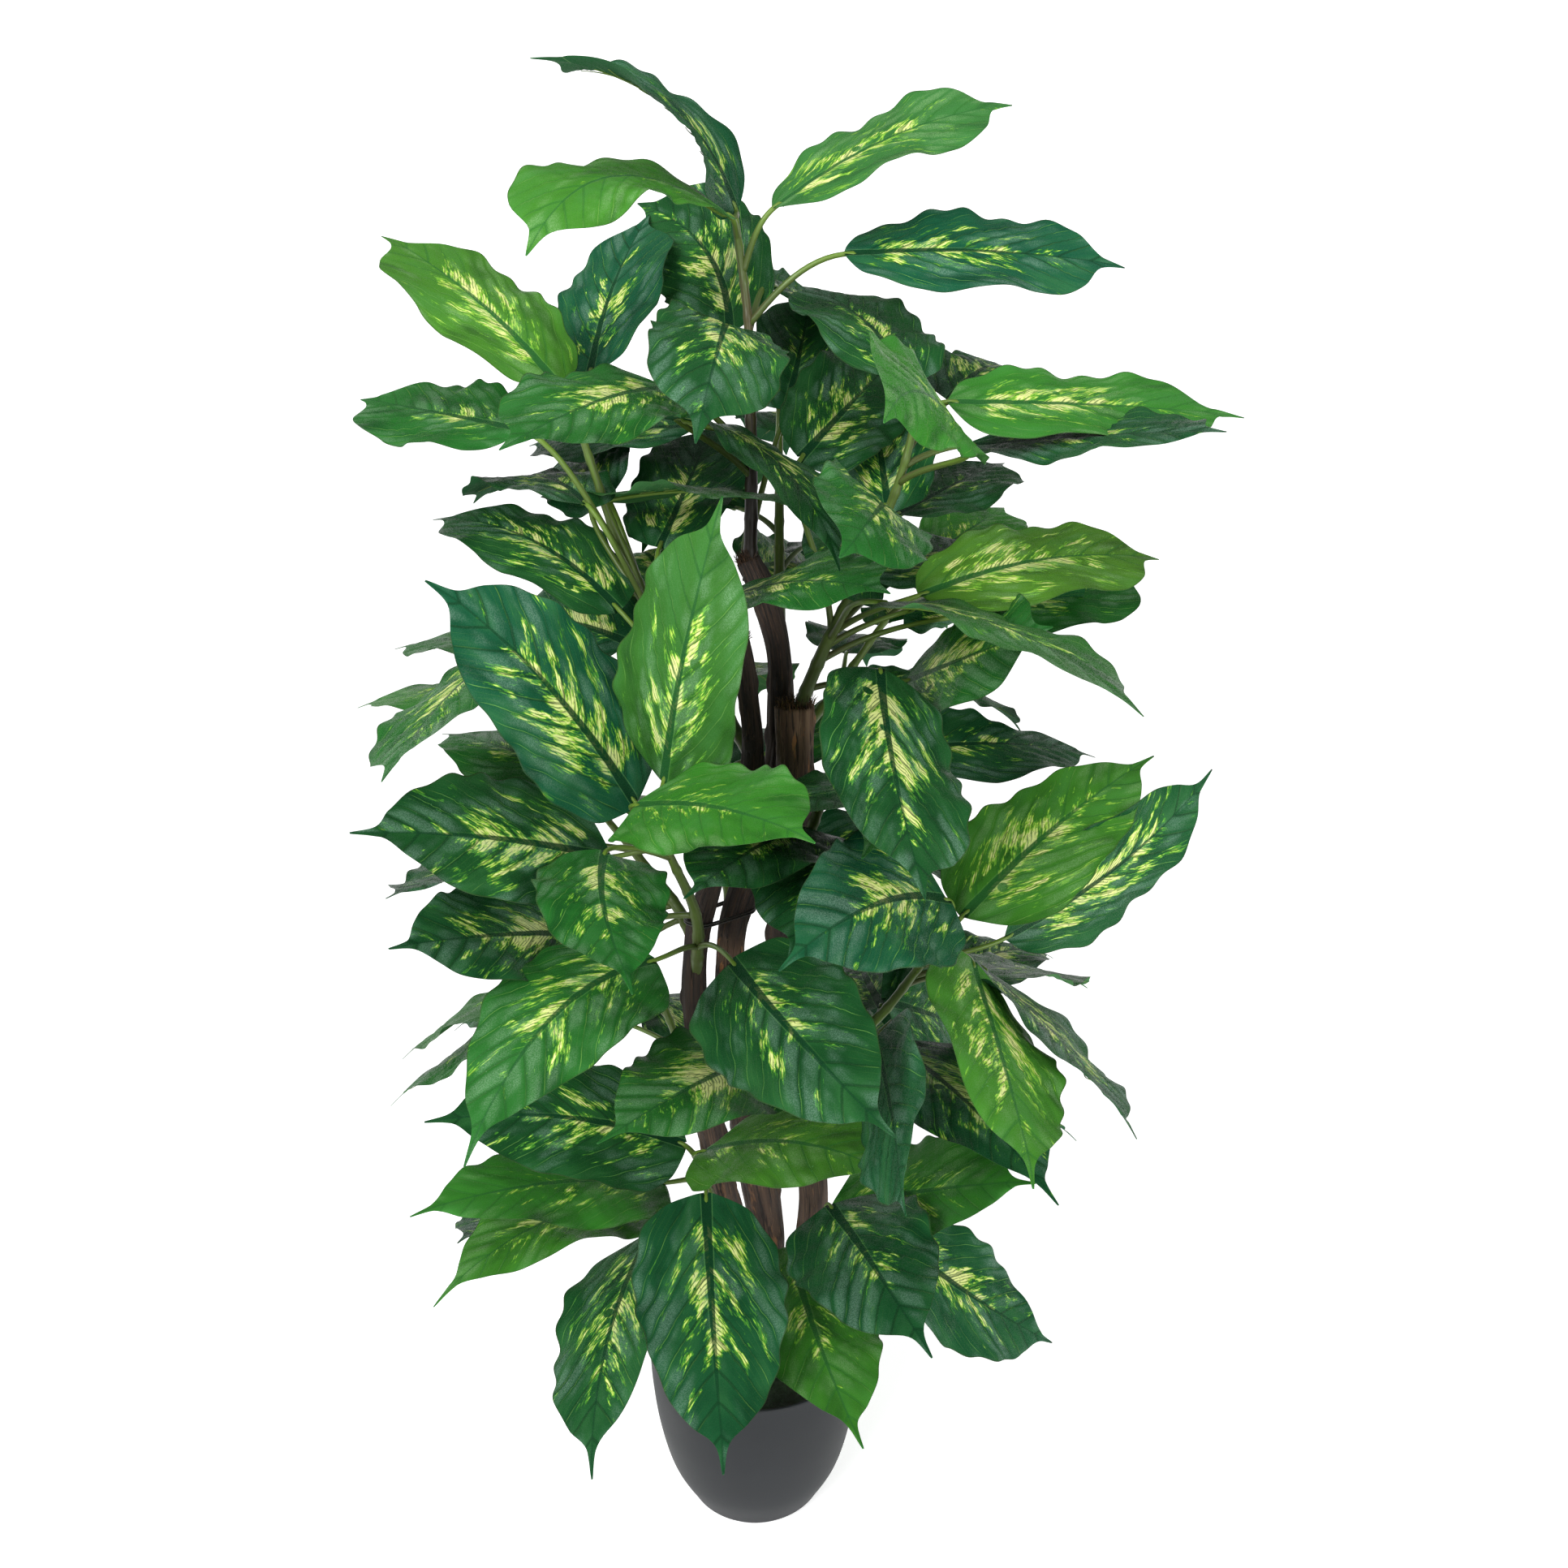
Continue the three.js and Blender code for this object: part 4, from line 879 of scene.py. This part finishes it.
    sheen = g.step(weave, 0.42, 0.62, 0.0, 0.12)
    g.set("Specular IOR Level", g.times(sheen, g.step(under, 0.0, 1.0, 1.0, 0.15)))
    rough = g.add(g.step(cloud, 0.3, 0.7, 0.3, 0.46), g.times(under, 0.14))
    crease = g.times(g.add(main_lines, g.times(fine_lines, 0.4)), g.step(y, 0.02, 0.1))
    bumps = g.add(g.times(weave, 0.7), g.times(crease, -0.8))
    return g.finish(colour, rough, bumps, strength=0.4, depth=0.0005)


def stalk_material():
    """Moulded stalks: light green by the leaf, deeper along the stem, brown where it is woody."""
    g = Graph("green_stalk", specular=0.3)
    streak = g.grain(0.7, 0.02, detail=4.0)
    worn = g.add(g.attribute("age"), g.swing(streak, 0.4))
    colour = g.mix(g.step(worn, 0.1, 0.36), rgb(94, 122, 44), rgb(74, 90, 42))
    colour = g.mix(g.step(worn, 0.36, 0.5), colour, rgb(76, 72, 44))
    colour = g.mix(g.step(worn, 0.56, 0.8), colour, rgb(32, 26, 22))
    rough = g.step(streak, 0.3, 0.7, 0.3, 0.5)
    return g.finish(colour, rough, streak, strength=0.5, depth=0.0006)


def bark_material():
    """Stripped wood: fibres along the trunk, dark cracks, tan worn wood and paler peeled places."""
    g = Graph("stripped_wood")
    bare = g.attribute("bare")
    fibre = g.grain(0.9, 0.012, detail=6.0, roughness=0.6)
    broad = g.grain(0.12, 0.01, detail=3.0)
    cracks = g.step(g.grain(0.5, 0.02, detail=2.0), 0.43, 0.36)
    peel = g.grain(0.16, 0.03, detail=3.0, roughness=0.6)
    dim = g.mix(g.step(broad, 0.35, 0.65), rgb(29, 22, 20), rgb(49, 36, 30))
    warm = g.mix(g.step(broad, 0.35, 0.65), rgb(92, 66, 50), rgb(138, 108, 84))
    colour = g.mix(bare, dim, warm)
    worn = g.mix(bare, rgb(96, 72, 56), rgb(178, 150, 120))
    colour = g.mix(g.step(fibre, 0.5, 0.74, 0.0, 0.7), colour, worn)
    between = g.mix(bare, rgb(22, 17, 16), rgb(56, 38, 28))
    colour = g.mix(g.step(fibre, 0.45, 0.3, 0.0, 0.8), colour, between)
    colour = g.mix(g.times(cracks, 0.8), colour, rgb(20, 14, 12))
    peeled = g.times(g.step(peel, 0.6, 0.66), g.step(bare, 0.1, 0.4))
    colour = g.mix(g.times(peeled, 0.8), colour, rgb(172, 118, 74))
    rough = g.step(fibre, 0.3, 0.7, 0.72, 0.92)
    bumps = g.add(fibre, g.times(cracks, -0.7), g.times(peeled, -0.5))
    return g.finish(colour, rough, bumps, strength=0.7, depth=0.0016)


def coir_material():
    """Coir: each fibre has its own brown, and darker spots lie on all of them."""
    g = Graph("coir")
    strand = g.attribute("strand")
    colour = g.mix(g.step(strand, 0.0, 0.6), rgb(40, 27, 18), rgb(104, 74, 44))
    colour = g.mix(g.step(strand, 0.6, 1.0), colour, rgb(162, 124, 76))
    colour = g.mix(g.noise(g.place(), 700.0, 2.0), rgb(52, 34, 20), colour)
    threads = g.noise(g.place(), 2500.0, 2.0)
    return g.finish(colour, roughness=0.9, bumps=threads, strength=0.4, depth=0.0003)


def pot_material():
    """Matte moulded plastic, a cool dark grey with a fine grain."""
    g = Graph("matte_pot", specular=0.22)
    grain = g.noise(g.place(), 1800.0, 2.0)
    cloud = g.noise(g.place(), 9.0, 3.0)
    colour = g.mix(g.step(cloud, 0.3, 0.7), rgb(27, 29, 32), rgb(34, 36, 39))
    colour = g.mix(g.step(grain, 0.62, 0.8, 0.0, 0.3), colour, rgb(54, 56, 61))
    rough = g.step(g.add(cloud, g.times(grain, 0.4)), 0.4, 1.0, 0.48, 0.62)
    return g.finish(colour, rough, grain, strength=0.25, depth=0.0003)


def filler_material():
    """Poured dark filler with a greenish, slightly glossy skin."""
    g = Graph("dark_filler")
    pits = g.noise(g.place(), 260.0, 4.0)
    cloud = g.noise(g.place(), 24.0, 3.0)
    colour = g.mix(g.step(cloud, 0.35, 0.65), rgb(14, 26, 18), rgb(30, 44, 30))
    colour = g.mix(g.step(pits, 0.6, 0.75, 0.0, 0.5), colour, rgb(48, 56, 38))
    rough = g.step(pits, 0.3, 0.7, 0.3, 0.6)
    return g.finish(colour, rough, pits, strength=0.5, depth=0.001)


def wire_material():
    """Dark painted wire, worn paler in places."""
    g = Graph("painted_wire")
    wear = g.noise(g.place(), 900.0, 3.0)
    colour = g.mix(g.step(wear, 0.5, 0.75), rgb(24, 22, 20), rgb(66, 56, 46))
    return g.finish(colour, roughness=0.45, bumps=wear, strength=0.3, depth=0.0002)


def floor_material():
    """A white sweep that glows a little, so that the plant's shadow on it stays soft."""
    g = Graph("pale_floor", specular=0.1)
    g.set("Roughness", 0.9)
    g.set("Base Color", (FLOOR_WHITE, FLOOR_WHITE, FLOOR_WHITE, 1.0))
    g.set("Emission Color", (1.0, 1.0, 1.0, 1.0))
    g.set("Emission Strength", FLOOR_GLOW)
    return g.material


LEAF = leaf_material()
STALK = stalk_material()
BARK = bark_material()
COIR = coir_material()


# ---- Trunks, with coir on their cut tops ----
trunk_curves = {}
trunk_radii = {}
for name, rows in TRUNKS.items():
    points = [seen_at(u, v, near) for u, v, near, _ in rows]
    foot = np.array([*points[-1][:2], FILLER_TOP - TRUNK_BURIED])
    trunk_curves[name] = Curve([*points, foot])
    trunk_radii[name] = [row[3] for row in rows] + [rows[-1][3]]


def trunk_radius(name, share):
    radii = trunk_radii[name]
    place = np.asarray(share) * (len(radii) - 1)
    return np.interp(place, range(len(radii)), radii) + 0.5 * np.sin(place * 5.3 + len(radii))


def build_trunk(name):
    """A trunk with the broad waves, fibres, knots and cracks of its bark."""
    curve = trunk_curves[name]
    shares = np.linspace(0, 1, int(curve.length / 3))
    radii = trunk_radius(name, shares)
    seed = 10 * len(trunk_radii[name])

    def bark(length, angle):
        rows = []
        for a in length:
            row = []
            for b in angle:
                x, y = math.cos(b), math.sin(b)
                broad = noise.noise((x * 1.2 + seed, y * 1.2, a * 0.018))
                fibre = noise.noise((x * 4.5, y * 4.5 + seed, a * 0.02))
                knot = max(0.0, noise.noise((x * 1.1, y * 1.1 + seed, a * 0.045)) - 0.28)
                crack = min(0.0, abs(noise.noise((x * 2.6, y * 2.6, a * 0.009 + seed))) - 0.07)
                row.append(1.5 * broad + 0.8 * fibre + 6.0 * knot + 14.0 * crack)
            rows.append(row)
        return rows

    low, bright = WORN[name]
    depth = shares * curve.length
    bare = bright * np.exp(-((depth / 45) ** 2)) + low * np.clip((shares - 0.45) * 3, 0.12, 1)
    bare = bare + 0.5 * np.exp(-(((depth - KNOT_DEPTH.get(name, NO_KNOT)) / 14) ** 2))
    shape = Shape()
    add_tube(shape, curve.at(shares), radii - 0.3, sides=56, bump=bark, bare=bare)
    shape.build(f"bark_{name}", BARK, "trunk_wood", f"trunk_{name}")


def build_tuft(name):
    """A pad of coir: loose fibres that lie over the cut top and hang a little over its edge."""
    curve = trunk_curves[name]
    top = curve.at(0.0)
    upward = -curve.direction(0.0)
    side = unit(np.cross(upward, [0.2, 1.0, 0.1]))
    other = np.cross(upward, side)
    reach = float(trunk_radius(name, 0.0))
    radii = np.linspace(*FIBRE_RADII, 6)
    steps = np.linspace(0, 1, 6)[:, None]
    shape = Shape()
    for _ in range(FIBRES):
        angle, turn = RANDOM.uniform(0, 2 * math.pi, 2)
        out = reach * RANDOM.uniform(0.05, 1.0) ** 0.5
        lean = RANDOM.uniform(0.1, 1.0)
        height = RANDOM.uniform(*FIBRE_HEIGHTS)
        root = top + (side * math.cos(angle) + other * math.sin(angle)) * out * 0.95 - upward * 1.0
        sway = side * math.cos(turn) + other * math.sin(turn)
        path = root + upward * height * steps * (1.3 - 0.5 * steps * lean)
        path = path + sway * lean * 6 * steps**1.5 + other * 0.8 * np.sin(steps * 5 + turn)
        add_tube(shape, path, radii, sides=4, strand=RANDOM.uniform(0, COIR_PALEST[name]))
    shape.build(f"coir_{name}", COIR, "coir", f"tuft_{name}")


def build_tie():
    """Turns of wire round the left and the tall trunk, with the ends twisted together."""
    held = []
    for name in ("left", "tall"):
        share = trunk_curves[name].share_at_height(TIE_HEIGHT)
        held.append((trunk_curves[name].at(share), float(trunk_radius(name, share)) + TIE_GAP))
    path = []
    steps_a_turn = 48
    for k in range(TIE_TURNS * steps_a_turn + 1):
        turn = k / steps_a_turn
        angle = 2 * math.pi * turn + math.pi * 1.5
        outward = np.array([math.cos(angle), math.sin(angle), 0.0])
        places = [centre + outward * radius for centre, radius in held]
        place = max(places, key=lambda p: p @ outward)
        place[2] = TIE_HEIGHT - 1.0 + TIE_PITCH * turn
        path.append(place)
    shape = Shape()
    smooth = Curve(path, fine=3)
    add_tube(shape, smooth.at(np.linspace(0, 1, 240)), TIE_RADIUS, sides=8)
    turns = np.linspace(0, 1, 60)[:, None]
    for start, lag in ((path[0], 0.0), (path[-1], math.pi)):
        sideways = np.cos(turns * 20 + lag)
        upright = np.sin(turns * 20 + lag) - 7 * turns**2
        knot = np.array([path[0][0], path[0][1] - 1.2, TIE_HEIGHT])
        twist = knot + np.hstack([sideways, -TIE_END_REACH * turns, upright])
        ends = start + (twist - start) * np.minimum(1, turns * 6)
        add_tube(shape, ends, TIE_RADIUS * 0.9, sides=8)
    shape.build("tie_wire_twisted", wire_material(), "wire", "tie_wire")


# ---- Pot and filler ----
def lathe(shape, profile, sides=144, lift=None):
    """A closed body turned about the upright axis from a profile that starts and ends on it."""
    profile = np.asarray(profile, float)
    angle = np.linspace(0, 2 * math.pi, sides, endpoint=False)
    ring = profile[1:-1]
    x = ring[:, :1] * np.cos(angle)
    y = ring[:, :1] * np.sin(angle)
    z = np.repeat(ring[:, 1:], sides, axis=1)
    if lift is not None:
        z = z + lift(x, y, z)
    places = np.stack([x, y, z], axis=-1).reshape(-1, 3)
    ends = [[0, 0, profile[0][1]], [0, 0, profile[-1][1]]]
    first = len(places)
    last = (len(ring) - 1) * sides
    faces = grid_faces(len(ring), sides, closed=True)
    for j in range(sides):
        k = (j + 1) % sides
        faces.append((first, k, j))
        faces.append((first + 1, last + j, last + k))
    shape.add(np.vstack([places, ends]), faces)


def pot_side(count):
    """Radius and height of points up the outside of the pot, from its lower edge."""
    side = Curve([[r, 0, z] for r, z in POT_OUTER[1:]])
    return side.at(np.linspace(0, 1, count))[:, [0, 2]]


def build_pot():
    """One wall of even thickness with a rounded heel and lip, open at the top."""
    outer = pot_side(60)
    top_radius, top = POT_OUTER[-1]
    lip = POT_WALL / 2
    outer = outer[outer[:, 1] < top - lip - 0.4]
    foot = POT_OUTER[0][0]
    heel = [[foot, 0.0], [foot + 6, 0.35], [foot + 11, 2.6]]
    arc = np.linspace(0, math.pi, 11)
    rim = np.stack([top_radius - lip + lip * np.cos(arc), top - lip + lip * np.sin(arc)], axis=-1)
    inner = outer[::-1] - [POT_WALL, 0]
    inner = inner[inner[:, 1] > POT_FLOOR + 3]
    profile = [[0, 0], [foot * 0.6, 0], *heel, *outer, *rim, *inner]
    profile += [[inner[-1][0] - 3, POT_FLOOR], [30, POT_FLOOR], [0, POT_FLOOR]]
    shape = Shape()
    lathe(shape, profile)
    shape.build("pot_shell", pot_material(), "pot", "pot")


def build_filler():
    """The filler up to its uneven skin, a little clear of the pot's wall."""
    wall = pot_side(40) - [POT_WALL + FILLER_GAP, 0]
    wall = wall[(wall[:, 1] > 12) & (wall[:, 1] < FILLER_TOP - 1.5)]
    edge = wall[-1][0]
    top = [[edge * share, FILLER_TOP] for share in np.linspace(0.995, 0.02, 44)]

    def lumps(x, y, z):
        on_top = z > FILLER_TOP - 0.1
        height = np.zeros_like(x)
        for index in np.ndindex(x.shape):
            if on_top[index]:
                a, b = x[index], y[index]
                height[index] = 1.6 * noise.noise((a * 0.03, b * 0.03, 4.0))
                height[index] += 0.7 * noise.noise((a * 0.11, b * 0.11, 9.0)) - 0.8
        return height

    shape = Shape()
    profile = [[0, 6], [50, 6], [edge * 0.62, 8], *wall, *top, [0, FILLER_TOP - 0.8]]
    lathe(shape, profile, lift=lumps)
    shape.build("filler_skin", filler_material(), "filler", "filler")


# ---- Leafy stems ----
def build_spray(name, curve, leaves):
    blades = Shape()
    stalks = Shape()
    add_stem(stalks, curve, woody=1.0 if name == "crown" else 0.0)
    for leaf in leaves:
        add_leaf(blades, leaf)
        add_petiole(stalks, leaf, curve)
        add_veins(stalks, leaf)
    blades.build(f"leaves_{name}", LEAF, "foliage", f"spray_{name}")
    stalks.build(f"stalks_{name}", STALK, "foliage", f"spray_{name}")


def build_sprays():
    """The stems of the tables, then the stems at the back, whose leaves fan out by a rule."""
    count = 0
    for name, rows in LEAVES.items():
        curve = Curve([seen_at(*row) for row in STEMS[name]])
        leaves = [seen_leaf(row, count + k) for k, row in enumerate(rows)]
        build_spray(name, curve, leaves)
        count += len(leaves)
    for name, (trunk, height, reach, number, middle, spread) in BACK_SPRAYS.items():
        start = trunk_curves[trunk].at(trunk_curves[trunk].share_at_height(height))
        end = start + reach
        curve = Curve([start, (start + end) / 2 + [0, 14, -8], end])
        leaves = []
        for k in range(number):
            share = 0.35 + 0.65 * k / (number - 1)
            swing = (k * GOLDEN_ANGLE * 2 / math.pi) % 2
            azimuth = math.radians(middle + spread * (swing - 1))
            leaves.append(grown_leaf(curve.at(share), azimuth, share, count + k))
        build_spray(name, curve, leaves)
        count += number


# ---- Floor, light and camera ----
def build_floor():
    """A plain sweep: level under the plant, and curved up behind it."""
    mesh = bpy.data.meshes.new("floor")
    profile = [(-FLOOR_REACH, 0.0)]
    for a in np.linspace(0, math.pi / 2, 25):
        profile.append((FLOOR_BACK + FLOOR_BEND * math.sin(a), FLOOR_BEND - FLOOR_BEND * math.cos(a)))
    profile.append((FLOOR_BACK + FLOOR_BEND, FLOOR_TOP))
    corners = [(x, y, z) for y, z in profile for x in (-FLOOR_REACH, FLOOR_REACH)]
    faces = [(2 * k, 2 * k + 1, 2 * k + 3, 2 * k + 2) for k in range(len(profile) - 1)]
    mesh.from_pydata(corners, [], faces)
    mesh.materials.append(floor_material())
    floor = bpy.data.objects.new("floor", mesh)
    bpy.context.collection.objects.link(floor)


def add_softbox(name, place, size, power):
    light = bpy.data.lights.new(name, "AREA")
    light.shape = "SQUARE"
    light.size = size
    light.energy = power
    lamp = bpy.data.objects.new(name, light)
    lamp.location = place
    ahead = unit(np.array(LAMPS_AIM, float) - np.array(place, float))
    turn = math.atan2(ahead[1], ahead[0]) - math.pi / 2
    lamp.rotation_euler = (math.acos(-ahead[2]), 0.0, turn)
    bpy.context.collection.objects.link(lamp)


def light_scene():
    world = bpy.data.worlds.new("studio")
    world.use_nodes = True
    background = world.node_tree.nodes["Background"]
    background.inputs["Color"].default_value = (1.0, 1.0, 1.0, 1.0)
    background.inputs["Strength"].default_value = ROOM_GLOW
    bpy.context.scene.world = world
    for name, lamp in LAMPS.items():
        add_softbox(name, **lamp)
    bpy.context.scene.view_settings.view_transform = "Standard"


def add_camera():
    camera = bpy.data.cameras.new("camera")
    camera.sensor_width = SENSOR_WIDTH
    camera.lens = camera.sensor_width * FOCAL / (2 * CENTRE)
    eye = bpy.data.objects.new("camera", camera)
    eye.location = EYE * MM
    eye.rotation_euler = (math.radians(90 - DOWN_DEG), 0.0, 0.0)
    bpy.context.collection.objects.link(eye)
    bpy.context.scene.camera = eye


for trunk_name in TRUNKS:
    build_trunk(trunk_name)
    build_tuft(trunk_name)
build_tie()
build_pot()
build_filler()
build_sprays()
build_floor()
light_scene()
add_camera()
